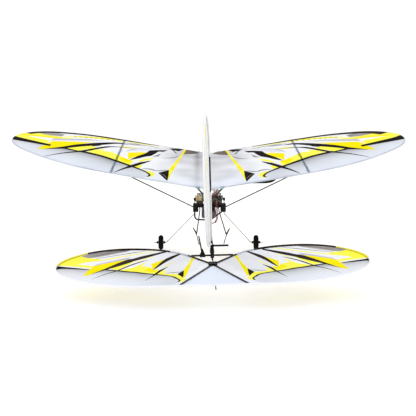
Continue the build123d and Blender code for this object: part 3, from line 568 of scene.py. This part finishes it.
ARM_ANGLE = 61.66                   # direction of the front arm where it leaves the cross joint
ELEVATOR_OUTLINE = tangent_arcs(
    [(0.6, -29.1), (15.5, -1.5), (33.0, 19.5), (62.0, 31.0), (90.0, 20.5), (104.5, -2.5),
     (108.0, -22.5), (98.0, -55.5), (73.0, -80.5), (40.0, -90.0), (0.05, -90.5)],
    start_angle=ARM_ANGLE,
)
ELEVATOR_OUTLINE = [(x, y + PIVOT_Y) for x, y in ELEVATOR_OUTLINE]

RUDDER_OUTLINE = tangent_arcs(
    [(0.0, 70.0), (10.0, 93.0), (40.0, 101.8), (61.0, 88.0), (67.0, 60.0), (59.0, 32.0),
     (36.0, 14.0), (8.0, 8.5)],
    start_angle=90.0,
) + [(0.0, 8.5)]


def edge_run(outline, keep, inset):
    """The part of an outline whose points pass a test, moved inward."""
    return [point for point in beside(outline, inset) if keep(*point)]


# ---------------------------------------------------------------- printed pattern of the wing

PRINT_SHIFT = {"right": 0.0, "left": 5.5}    # the left panel's film was cut a little further out
TAIL_PRINT_SHIFT = -3.4                      # and the tailplane's left half a little further in
DEEPEST_SHADE = 0.9

WING_SWEEP = [
    (50, 3), (48, 9), (50, 16), (54, 22), (61, 29), (70, 37), (82, 47), (95, 57), (103, 61), (113, 65),
    (125, 68), (135, 71),
]

SPECKLES = [
    (90, 136), (96, 135.4), (102, 134.4), (108, 133.2), (113, 131.6), (118, 129.8), (123, 128), (128, 126),
]


def wing_pattern():
    """Slashes, bands and spears, in the order in which they are printed."""
    leading = edge_run(WING_OUTLINE, lambda x, y: 44 < x < 181 and y > 115, 3.0)
    return [
        # root patches at the leading edge
        ("taupe", shape([(4, 130)], [(12, 143)], [(17, 141)], [(21, 113), (11, 121)])),
        ("umber", shape(
            [(20, 139), (28, 137)], [(35, 132), (31, 125)], [(28, 114)], [(26, 114), (30, 126)],
            [(25, 125)],
        )),
        # inner slash with brighter and paler lengths
        ("yellow", shape([(17, 142), (21, 105), (27, 49)], [(32, -3), (32, 38), (24, 97)], [(19, 141)])),
        ("pale", shape([(20.5, 108)], [(24, 101)], [(23.6, 93)], [(22.4, 98)])),
        ("pale", shape([(24.4, 72)], [(28.4, 66)], [(29.2, 58)], [(26.0, 62)])),
        ("pale", shape([(28.2, 40)], [(31.8, 44)], [(32, 30)], [(30.5, 18)])),
        # inner black triangle with a scratch
        ("black", shape([(32, 39)], [(41, 22)], [(32, -3), (31.6, 18)])),
        ("silver", stroke([(33, 9), (36, 17), (39.5, 22)], [0.4, 0.7, 0.3])),
        ("silver", stroke([(34, 37), (38, 33), (43, 29), (49, 32), (56, 29.5)], [1.0, 2.6, 2.6, 4.6, 1.0])),
        # zigzag and the triangle in its lap
        ("yellow", shape([(54, 100), (64, 95)], [(74, 87)], [(71, 59), (64, 77)], [(56, 95)])),
        ("black", shape(
            [(36, 123), (47, 117)], [(54, 110), (57, 95), (64, 77)], [(70, 57), (64, 65), (57, 78)],
            [(51, 87)], [(47, 101), (45, 110)], [(40, 113)],
        )),
        ("silver", shape([(42, 104)], [(47, 92)], [(50, 84)], [(44, 88)])),
        ("pale", shape([(47, 80), (56, 70)], [(62, 57), (59, 57), (51, 70)])),
        # airbrushed greys forward of the zigzag
        ("mist", shape([(44, 128), (58, 122), (70, 108)], [(75, 94), (68, 96), (56, 108)])),
        ("lilac", stroke([(60, 118), (70, 106), (76, 90)], [0.4, 3.0, 0.4])),
        ("silver", stroke([(24, 104), (30, 92), (40, 84)], [0.4, 2.4, 0.4])),
        ("umber", stroke([(43, 126), (54, 131), (66, 132), (76, 135)], [0.4, 1.8, 1.6, 0.4])),
        ("silver", stroke([(58, 127), (70, 127), (84, 122)], [0.4, 3.0, 0.6])),
        # hook and band above the sweep
        ("pale", shape(
            [(50, 3), (46, 5), (44, 15), (46, 22), (52, 24)], [(59, 29)], [(56, 40)], [(60, 46)],
            [(65, 35)], [(67, 40)], [(66, 56)], [(71, 59), (80, 70)], [(89, 81)], [(100, 80)], [(103, 71)],
            [(114, 67)], WING_SWEEP[9:0:-1],
        )),
        ("yellow", shape([(66, 56)], [(71, 59)], [(76, 65)], [(79, 56)], [(72, 44)])),
        # streak that crosses the band
        ("silver", shape([(58, 58), (66, 41)], [(71, 30), (64, 34)], [(57, 50)])),
        ("black", stroke([(50, 66), (57, 53), (65, 35), (72, 20), (79, 1)], [0.8, 4.4, 4.6, 2.6, 0.5])),
        ("black", stroke(WING_SWEEP, [1.6, 2.4, 4.0, 5.6, 6.4, 6.0])),
        # long stripe from the leading edge to the sweep, with the spear under it
        ("lilac", shape(
            [(98, 128), (118, 117)], [(147, 97)], [(150, 94)], [(148, 107), (135, 114)], [(118, 124)],
        )),
        ("yellow", shape(
            [(106, 118), (120, 108)], [(147, 94), (151, 77)], [(155, 49), (144, 60)],
            [(131, 74), (124, 90)], [(116, 105)],
        )),
        ("umber", shape(
            [(75, 125), (88, 127), (106, 112), (118, 97), (127, 83), (135, 72)], [(143, 61)],
            [(143, 59), (134, 66), (125, 72), (117, 86), (104, 99)], [(101, 106), (87, 121)],
        )),
        ("black", stroke(
            [(78, 126), (92, 121), (106, 108), (120, 92), (128, 80), (136, 69), (149, 54)],
            [0.4, 6.0, 8.0, 8.0, 7.0, 5.0, 0.3],
        )),
        ("pale", shape([(64, 123), (71, 114)], [(85, 111)], [(86, 107), (75, 106), (68, 114)])),
        ("pale", shape([(104, 91)], [(110, 96), (121, 84)], [(130, 72)], [(119, 67), (112, 78)])),
        ("pale", shape([(95, 88)], [(99, 87), (106, 79)], [(113, 69)], [(103, 71)])),
        ("black", stroke(
            [(68, 112), (89, 105), (99, 95), (113, 71), (119, 63), (131, 48), (144, 26)],
            [0.4, 4.6, 4.6, 3.2, 0.6],
        )),
        # leading edge: dark line, yellow lines, speckled band
        ("pale", stroke([(42, 134), (59, 136.5), (79, 138.5)], [0.6, 2.8, 3.0])),
        ("silver", stroke([(60, 131), (74, 130), (82, 132)], [0.3, 3.0, 0.5])),
        ("yellow", shape([(78, 134), (84, 137)], [(86, 143)], [(88, 135), (84, 133)])),
        ("pale", stroke([(86, 139), (104, 137), (122, 131.5), (140, 122)], [3.0, 8.0, 8.0, 1.0])),
        *[("umber", stroke([(x, y + 2.6), (x + 3.2, y)], [0.4, 2.0])) for x, y in SPECKLES],
        # tip
        ("silver", shape(
            [(141, 131), (150, 134)], [(161, 138)], [(182, 130), (170, 123)], [(154, 118)], [(143, 120)],
        )),
        ("pale", shape(
            [(130, 120), (143, 118)], [(154, 118), (170, 123)], [(184, 131)], [(196, 116)],
            [(197, 95), (187, 91), (179, 87)], [(151, 77)], [(150, 94)], [(175, 102), (160, 105)],
            [(148, 107), (135, 114)],
        )),
        ("yellow", shape([(148, 107), (160, 105)], [(175, 102)], [(184, 106), (168, 110)], [(140, 115)])),
        ("black", shape(
            [(146, 70), (164, 73.5), (185, 77)], [(197, 82)], [(197, 107), (187, 96), (179, 90), (164, 84)],
            [(146, 77)],
        )),
        ("umber", stroke(leading, [2.0, 6.0, 8.0, 13.0, 16.0])),
    ]


UNDER_TIP = [(150, 77), (164, 81), (185, 87), (197, 94)]


def wing_shade(x, y):
    """How far the print is airbrushed towards grey."""
    tone = 0.0
    behind_sweep = signed_distance((x, y), WING_SWEEP)
    if behind_sweep > 0 and x > 47:
        tone = 0.80 * exp(-behind_sweep / 17.0) * min(1, 0.25 + max(0, x - 50) / 45)
    under_tip = signed_distance((x, y), UNDER_TIP)
    if under_tip > 0 and x > 140:
        tone = max(tone, 0.70 * exp(-under_tip / 11.0) * min(1, (x - 140) / 14))
    root = min(1, max(0, 1.9 - x / 26))
    streaks = noise.noise(Vector((x * 0.05 + y * 0.04, y * 0.035 - x * 0.03, 2.0)))
    clouds = noise.noise(Vector((x * 0.02 + y * 0.03, y * 0.05, 7.0)))
    tone += root * max(0, 0.08 + 0.0021 * max(0, y) + 0.2 * streaks)
    tone += 0.06 * max(0, clouds)
    return min(tone, DEEPEST_SHADE)


def left_wing_shade_with_painted_folds(x, y):
    """The left panel, with soft folds in its film beside the root rib, whose shade is painted in as grey
    bands.
    """
    # painted shade of the folds: two grey bands beside the root rib, deeper towards the front
    folds = 0.42 * exp(-(((x - 11.5) / 2.6) ** 2)) + 0.16 * exp(-(((x - 4.5) / 1.6) ** 2))
    deeper_forward = 0.35 + 0.65 * max(0, y) / 135
    return min(DEEPEST_SHADE, wing_shade(x - PRINT_SHIFT["left"], y) + folds * deeper_forward)


def wing_sky(x, y):
    """How far the clear back edge takes a bluish cast."""
    rise = y + 10 - 0.06 * x if x < 90 else y - 0.4 * (x - 87)
    return 0.25 * max(0, 1 - rise / 60)


# ---------------------------------------------------------------- printed pattern of the tailplane

TAIL_SWEEP = [
    (26, -79), (25, -74), (27, -69), (30, -63), (37, -58), (43, -55), (49, -52), (55, -48), (60, -46),
    (67, -42), (75, -38), (80, -37),
]


def tail_pattern():
    """The right half's shapes, in the order in which they are printed."""
    leading = edge_run(ELEVATOR_OUTLINE, lambda x, y: 30 < x < 84 and y > 10, 0.8)
    return [
        ("yellow", shape(
            [(15.5, -2)], [(17.6, 1), (20, -24)], [(23, -44)], [(23, -66)], [(21.4, -66), (18, -24)],
        )),
        ("pale", shape([(18.0, -14)], [(19.6, -18)], [(20.8, -32)], [(18.8, -26)])),
        ("black", shape([(23, -45)], [(27, -56)], [(23, -67), (22.8, -56)])),
        ("silver", stroke([(24.6, -49.5), (29, -51.5), (36, -53)], [0.4, 2.2, 0.3])),
        ("pale", shape(
            [(26, -79), (23, -78), (21, -71)], [(23, -67)], [(27, -56), (32, -55)], [(36, -54)],
            [(35, -45)], [(37, -44)], [(40, -54)], [(40, -40)], [(44, -42), (46, -34)], [(52, -29)],
            [(57, -32)], [(60, -35)], [(67, -41)], TAIL_SWEEP[9:0:-1],
        )),
        ("yellow", shape([(40, -40)], [(44, -42)], [(46, -34)], [(50, -44)], [(42, -50)])),
        ("yellow", shape([(37, -8)], [(46, -23)], [(44, -42), (40, -27)])),
        ("umber", shape([(25, 11)], [(27, 12), (37, -8)], [(44, -42), (42, -38), (37, -21)], [(31, -5)])),
        ("pale", shape([(31, -18), (34, -25)], [(38, -37), (37, -36)], [(32, -23)])),
        ("black", stroke(
            [(34, -34), (38, -43), (41, -54), (43, -61), (47, -73)], [0.4, 2.2, 2.0, 1.0, 0.2],
        )),
        ("black", stroke(TAIL_SWEEP, [0.9, 1.6, 2.0, 2.6, 3.0, 2.2])),
        # outer panel
        ("lilac", shape([(62, 2), (70, -4)], [(84, -19)], [(86, -25), (78, -17)], [(64, -6)])),
        ("pale", shape([(57, -8)], [(62, -12), (68, -22)], [(74, -34)], [(68, -40), (62, -24)])),
        ("pale", shape([(49, -18)], [(52, -20)], [(57, -32)], [(53, -30)])),
        ("yellow", shape(
            [(64, -6), (70, -10), (78, -17)], [(86, -25), (87, -33)], [(89, -55), (85, -52), (78, -40)],
            [(71, -25)],
        )),
        ("umber", shape(
            [(36, 22), (41, 18), (49, 10), (55, 4), (60, -3), (64, -6), (71, -20), (76, -32), (80, -41)],
            [(85, -52), (75, -37), (70, -30), (62, -18)], [(59, -12), (50, -1), (42, 10)], [(38, 15)],
        )),
        ("pale", stroke([(45, 4), (49, -2), (53, -9), (57, -17)], [0.4, 1.4, 1.4, 0.3])),
        ("black", stroke(
            [(49, -10), (53, -14), (60, -25), (68, -42), (75, -52), (82, -65)], [0.3, 1.8, 1.8, 1.2, 0.2],
        )),
        ("pale", stroke(
            [(43, 24), (49, 20), (58, 13), (67, 6), (83, -6), (103, -17)], [0.4, 2.0, 2.6, 2.8, 3.0, 0.4],
        )),
        ("silver", shape([(60, 34)], [(71, 30), (88, 24)], [(99, 10), (93, 3)], [(84, 7), (72, 17)])),
        ("taupe", stroke([(66, 28), (78, 20), (90, 9)], [0.4, 3.0, 0.4])),
        ("mist", stroke([(62, 26), (74, 17), (86, 6)], [0.3, 1.6, 0.3])),
        ("umber", stroke([(52, 24), (62, 18), (76, 8), (90, -1), (100, -5)], [0.4, 1.6, 1.2, 0.8, 0.2])),
        ("pale", shape(
            [(84, -1), (93, 3)], [(101, 12)], [(114, -4)], [(114, -20), (103, -23)], [(88, -31)],
            [(86, -25)], [(98, -18)], [(84, -5)],
        )),
        ("black", shape(
            [(87, -35), (94, -31), (104, -26)], [(114, -20)], [(114, -38), (107, -31), (96, -34)],
            [(87, -36.5)],
        )),
        ("black", shape([(34, 20), (42, 24), (50, 26)], [(56, 25), (48, 29)], [(40, 26)])),
        ("umber", stroke(leading, [0.4, 2.4, 2.8, 2.4, 0.8])),
    ]


UNDER_TAIL_TIP = [(87, -36), (94, -32), (104, -28), (114, -24)]


def tail_shade(x, y):
    """The same for the tailplane, whose left half mirrors the right one."""
    if x <= 0:
        x = -x - TAIL_PRINT_SHIFT
    tone = 0.0
    behind_sweep = signed_distance((x, y), TAIL_SWEEP)
    if behind_sweep > 0 and x > 24:
        tone = 0.72 * exp(-behind_sweep / 11.0) * min(1, 0.3 + max(0, x - 26) / 30)
    under_tip = signed_distance((x, y), UNDER_TAIL_TIP)
    if under_tip > 0 and x > 80:
        tone = max(tone, 0.62 * exp(-under_tip / 11.0) * min(1, (x - 80) / 10))
    beside_arms = x < 42 and y > -2.4 * x - 8 and y > 1.2 * x - 96
    if beside_arms:
        tone += 0.07 + 0.05 * noise.noise(Vector((x * 0.08 + y * 0.06, y * 0.05, 4.0)))
    return min(tone, DEEPEST_SHADE)


def tail_sky(x, y):
    """The unprinted middle between the rear arms is clear and bluish."""
    between_arms = abs(x) < 22.5 and y < -32 - 2.68 * abs(x)
    back_edge = 0.2 * max(0, 1 - (y + 92) / 50)
    return 0.32 if between_arms else back_edge


# ---------------------------------------------------------------- printed pattern of the rudder

def rudder_pattern():
    """Pale stripes up the height, with a yellow wedge at the top."""
    return [
        ("mist", shape(
            [(44, 15), (60, 34), (67, 60)], [(60, 88)], [(50, 98), (54, 74), (50, 44)], [(36, 13)],
        )),
        ("cream", stroke([(12, 12), (21, 40), (29, 66), (33, 84)], [2.0, 7.0, 7.0, 5.0])),
        ("yellow", shape([(31, 78), (36, 90)], [(40, 104)], [(27, 104), (28, 90)])),
        ("yellow", shape([(27, 74)], [(32, 70)], [(30, 64), (26, 67)])),
        ("lilac", stroke([(16, 9), (33, 38), (43, 70), (46, 98)], [0.3, 1.2, 1.0, 0.3])),
        ("lilac", stroke([(8, 10), (13, 30), (19, 60), (22, 96)], [0.3, 0.9, 0.8, 0.3])),
    ]


def rudder_shade(x, y):
    """A trace of grey, a little deeper towards the back."""
    return max(0, 0.01 + 0.05 * noise.noise(Vector((x * 0.05, y * 0.03, 9.0))) + 0.0004 * x)


# ---------------------------------------------------------------- film, hem and other made pieces

def place_mesh(name, vertices, faces, materials, body, indices):
    """A smooth-shaded mesh that rides on a body; the indices give each face its material."""
    mesh = bpy.data.meshes.new(name)
    mesh.from_pydata([tuple(v) for v in vertices], [], faces)
    for material in materials:
        mesh.materials.append(material)
    mesh.polygons.foreach_set("material_index", indices)
    mesh.polygons.foreach_set("use_smooth", [True] * len(mesh.polygons))
    obj = bpy.data.objects.new(name, mesh)
    bpy.context.scene.collection.objects.link(obj)
    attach(obj, body)
    return obj


def inside(point, outline):
    """Whether the point lies inside the outline."""
    x, y = point
    hit = False
    for (ax, ay), (bx, by) in zip(outline, outline[1:] + outline[:1]):
        if (ay > y) != (by > y) and x < (bx - ax) * (y - ay) / (by - ay) + ax:
            hit = not hit
    return hit


def grid_inside(outline, spacing):
    """The points of a staggered grid that lie inside the outline."""
    xs, ys = zip(*outline)
    low_x = min(xs)
    low_y = min(ys)
    points = []
    for i in range(int((max(xs) - low_x) / spacing) + 1):
        for j in range(int((max(ys) - low_y) / spacing) + 1):
            point = (low_x + (i + 0.5 * (j % 2)) * spacing, low_y + j * spacing)
            if inside(point, outline):
                points.append(point)
    return points


SHADOW_EDGE = 1.3           # half the width of a rod's shadow in the film, and
SHADOW_CORE = 0.7           # half the width of its dark core
SHADOW_STEP = 3             # between the points along it
SHADOW_DEPTH = 0.9


def points_beside(rods, outline):
    """Rows of points along both sides of each rod, so that its shadow has clean edges."""
    points = []
    for start, end in rods:
        length = hypot(end[0] - start[0], end[1] - start[1])
        across = ((end[1] - start[1]) / length, (start[0] - end[0]) / length)
        for side in (-SHADOW_EDGE, -SHADOW_CORE, SHADOW_CORE, SHADOW_EDGE):
            for k in range(int(length / SHADOW_STEP) + 1):
                share = k * SHADOW_STEP / length
                point = (
                    start[0] + (end[0] - start[0]) * share + side * across[0],
                    start[1] + (end[1] - start[1]) * share + side * across[1],
                )
                if inside(point, outline):
                    points.append(point)
    return points


def rod_shadow(point, rods):
    """How darkly the painted shadow of the nearest rod shows through the film."""
    nearest = min((abs(signed_distance(point, rod)) for rod in rods), default=9)
    return max(0, min(1, (SHADOW_EDGE - nearest) / (SHADOW_EDGE - SHADOW_CORE))) * SHADOW_DEPTH


def cut_film(outline, pattern, more_points, flip):
    """The film's points, its triangles cut along the printed shapes, and the ink of each triangle."""
    loops = [outline, *(loop for _, loop in pattern)]
    points = []
    faces = []
    for loop in loops:
        faces.append(list(range(len(points), len(points) + len(loop))))
        points.extend(loop if signed_area(loop) > 0 else loop[::-1])
    points.extend(more_points)
    flat, _, triangles, _, _, owners = delaunay_2d_cdt([Vector(p) for p in points], [], faces, 0, 0.01)
    kept = []
    inks = []
    for triangle, owner in zip(triangles, owners):
        if 0 not in owner:
            continue
        top = max(owner)
        kept.append(triangle[::-1] if flip else triangle)
        inks.append(0 if top == 0 else INK_ORDER.index(pattern[top - 1][0]))
    used = sorted({index for face in kept for index in face})
    renumber = {old: new for new, old in enumerate(used)}
    kept = [tuple(renumber[index] for index in face) for face in kept]
    return [flat[index] for index in used], kept, inks


def ripple(x, y):
    """The slight slackness of the film."""
    long_waves = noise.noise(Vector((x * 0.045, y * 0.02, 1.5)))
    cross_waves = noise.noise(Vector((x * 0.02, y * 0.11, 5.5)))
    return long_waves + 0.5 * cross_waves


def printed_film(
    name, outline, pattern, matrix, body, tones, rods=(), flip=False, spacing=3.5, lift=FILM_LIFT
):
    """A taut thin film cut along the printed shapes, so that each takes its own ink."""
    outline = [p for i, p in enumerate(outline) if dist(p, outline[i - 1]) > 0.02]
    more_points = grid_inside(outline, spacing) + points_beside(rods, outline)
    flat, triangles, inks = cut_film(outline, pattern, more_points, flip)
    top = lift + FILM_THICKNESS
    vertices = [to_row(matrix, (x, y, top + RIPPLE_HEIGHT * (1 + ripple(x, y)))) for x, y in flat]
    obj = place_mesh(name, vertices, triangles, list(INKS.values()), body, inks)
    shade, sky = tones
    values = {
        "shade": [shade(x, y) for x, y in flat],
        "sky": [sky(x, y) for x, y in flat],
        # painted shadow of the rods under the film
        "through": [rod_shadow(point, rods) for point in flat],
    }
    for tone, numbers in values.items():
        layer = obj.data.attributes.new(tone, "FLOAT", "POINT")
        layer.data.foreach_set("value", numbers)
    thick = obj.modifiers.new("thickness", "SOLIDIFY")
    thick.thickness = FILM_THICKNESS * MM
    thick.offset = -1
    return obj


def tube(name, path, radius, body, materials, choose, sides=10):
    """A round tube through points of the row frame; choose gives each run its material."""
    rings = []
    side = None
    for i, point in enumerate(path):
        heading = (path[min(i + 1, len(path) - 1)] - path[max(i - 1, 0)]).normalized()
        if side is None:
            side = heading.orthogonal().normalized()
        side = (side - heading * side.dot(heading)).normalized()
        up = heading.cross(side)
        turns = [2 * pi * k / sides for k in range(sides)]
        rings.append([point + (side * cos(turn) + up * sin(turn)) * radius for turn in turns])
    vertices = [v for ring in rings for v in ring]
    faces = []
    indices = []
    for i in range(len(rings) - 1):
        for k in range(sides):
            after = (k + 1) % sides
            faces.append((i * sides + k, i * sides + after, (i + 1) * sides + after, (i + 1) * sides + k))
            indices.append(choose(i))
    last = (len(rings) - 1) * sides
    faces.append(tuple(range(sides))[::-1])
    faces.append(tuple(range(last, last + sides)))
    indices += [indices[0], indices[-1]]
    return place_mesh(name, vertices, faces, materials, body, indices)


HEM_INKS = [HEM_LIGHT, HEM_DARK, HEM_YELLOW, HEM_WHITE]
LIGHT, DARK, YELLOW, PLAIN = range(4)           # places in that list


def hem(name, outline, matrix, body, choose):
    """The film's edge rolled round its rod."""
    path = [to_row(matrix, (x, y, 0)) for x, y in outline]
    return tube(name, path, HEM_RADIUS * MM, body, HEM_INKS, lambda i: choose(*outline[i]))


def wing_hem_ink(x, y):
    """Dark along the front of the panel, yellow at the tip, light elsewhere."""
    if y < 90 or x <= 40:
        return LIGHT
    return YELLOW if x > 178 else DARK


def tail_hem_ink(x, y):
    """Plain behind, then yellow at the tips, dark in front and light at the root."""
    if y < -22:
        return PLAIN
    if abs(x) < 30:
        return LIGHT
    return YELLOW if abs(x) > 92 else DARK


MIDDLE_RIB = ((87, 0), (87, 147))
TAIL_FILM_LIFT = -FILM_LIFT - 2.4 * FILM_THICKNESS      # the tailplane's film is under its rods
SLEEVE_TOP = 48                                         # top of the film's sleeve on the rudder's post


def make_wing(side, word):
    """One panel: film and hem."""
    matrix = wing_matrix(side)
    shapes = [(ink, [(x + PRINT_SHIFT[word], y) for x, y in loop]) for ink, loop in wing_pattern()]
    film = printed_film(
        f"wing_print_{word}", WING_OUTLINE, shapes, matrix, "airframe",
        (wing_shade if word == "right" else left_wing_shade_with_painted_folds, wing_sky),
        rods=[MIDDLE_RIB], flip=side < 0,
    )
    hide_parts(f"wing_film_{word}")
    edge = hem(f"wing_hem_{word}", WING_OUTLINE, matrix, "airframe", wing_hem_ink)
    abs(signed_area(WING_OUTLINE)) * MM * MM


def make_tailplane():
    """The elevator's film, one piece over both halves, with a hem along each."""
    left_half = [(-x, y) for x, y in ELEVATOR_OUTLINE][::-1]
    outline = ELEVATOR_OUTLINE[:-1] + left_half[1:]
    right_shapes = tail_pattern()
    left_shapes = [(ink, [(-x - TAIL_PRINT_SHIFT, y) for x, y in loop][::-1]) for ink, loop in right_shapes]
    film = printed_film(
        "elevator_print", outline, right_shapes + left_shapes, elevator_print, "elevator",
        (tail_shade, tail_sky), spacing=3.0, lift=TAIL_FILM_LIFT,
    )
    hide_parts("elevator_film")
    for side, word in ((1, "right"), (-1, "left")):
        run = [(side * x, y) for x, y in ELEVATOR_OUTLINE if not (y > -33 and x < 17)]
        piece = hem(f"elevator_hem_{word}", run, elevator_print, "elevator", tail_hem_ink)
    abs(signed_area(outline)) * MM * MM


def make_rudder():
    """The rudder's film, its hem, and the sleeve round the lower half of its post."""
    film = printed_film(
        "rudder_print", RUDDER_OUTLINE, rudder_pattern(), rudder_matrix, "rudder",
        (rudder_shade, lambda x, y: 0.0),
    )
    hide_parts("rudder_film")
    edge = hem("rudder_hem", RUDDER_OUTLINE[:-1], rudder_matrix, "rudder", lambda x, y: PLAIN)
    post_run = [(0.0, y) for y in range(9, SLEEVE_TOP, 3)]
    post_sleeve = hem("rudder_post_hem", post_run, rudder_matrix, "rudder", lambda x, y: PLAIN)
    abs(signed_area(RUDDER_OUTLINE)) * MM * MM


make_wing(1, "right")
make_wing(-1, "left")
make_tailplane()
make_rudder()

# ---------------------------------------------------------------- floor, light and camera

FLOOR_REACH = 6
FLOOR_DROP = 0.0002         # keeps the tyres' undersides clear of the paper


def make_floor():
    """White paper, bright enough to run into the backdrop, that still takes a faint shadow."""
    paint = Paint("floor_paper")
    tone = paint.ramp(paint.noise(3.0), linear(207, 205, 203), linear(211, 210, 208))
    paper = paint.shader(tone, 0.9)
    set_socket(paper, "Emission Color", linear(255, 253, 250))
    set_socket(paper, "Emission Strength", 0.5)
    material = paint.finish(paper)
    mesh = bpy.data.meshes.new("floor")
    corners = [(x * FLOOR_REACH, y * FLOOR_REACH, 0) for x, y in ((-1, -1), (1, -1), (1, 1), (-1, 1))]
    mesh.from_pydata(corners, [], [(0, 1, 2, 3)])
    mesh.materials.append(material)
    floor = bpy.data.objects.new("floor", mesh)
    floor.location.z = -FLOOR_DROP
    bpy.context.scene.collection.objects.link(floor)


def area_light(name, place, target, size, watts):
    """A round soft light that faces the target."""
    light = bpy.data.lights.new(name, "AREA")
    light.shape = "DISK"
    light.size = size
    light.energy = watts
    obj = bpy.data.objects.new(name, light)
    obj.location = place
    obj.rotation_euler = (Vector(target) - Vector(place)).to_track_quat("-Z", "Y").to_euler()
    bpy.context.scene.collection.objects.link(obj)


def make_light():
    """An even white studio with a little more light from the left."""
    world = bpy.data.worlds.new("studio")
    bpy.context.scene.world = world
    world.use_nodes = True
    backdrop = world.node_tree.nodes["Background"]
    backdrop.inputs["Color"].default_value = (1.0, 1.0, 1.0, 1)
    backdrop.inputs["Strength"].default_value = 1.05
    area_light("key", (-0.7, -0.6, 1.3), (0, 0, 0.05), 0.9, 3)
    area_light("fill", (0.9, -0.9, 0.8), (0, 0, 0.05), 0.8, 1.5)


def make_camera():
    """A long lens low behind the tail."""
    camera = bpy.data.cameras.new("camera")
    camera.sensor_width = 36
    camera.lens = 72.700962
    camera.clip_start = 0.01
    obj = bpy.data.objects.new("camera", camera)
    obj.location = (-0.00873, -0.70404, 0.09596)
    obj.rotation_euler = (radians(90 - 3.52), radians(0.05), radians(-0.55))
    bpy.context.scene.collection.objects.link(obj)
    bpy.context.scene.camera = obj


make_floor()
make_light()
make_camera()
bpy.context.scene.view_settings.view_transform = "Standard"
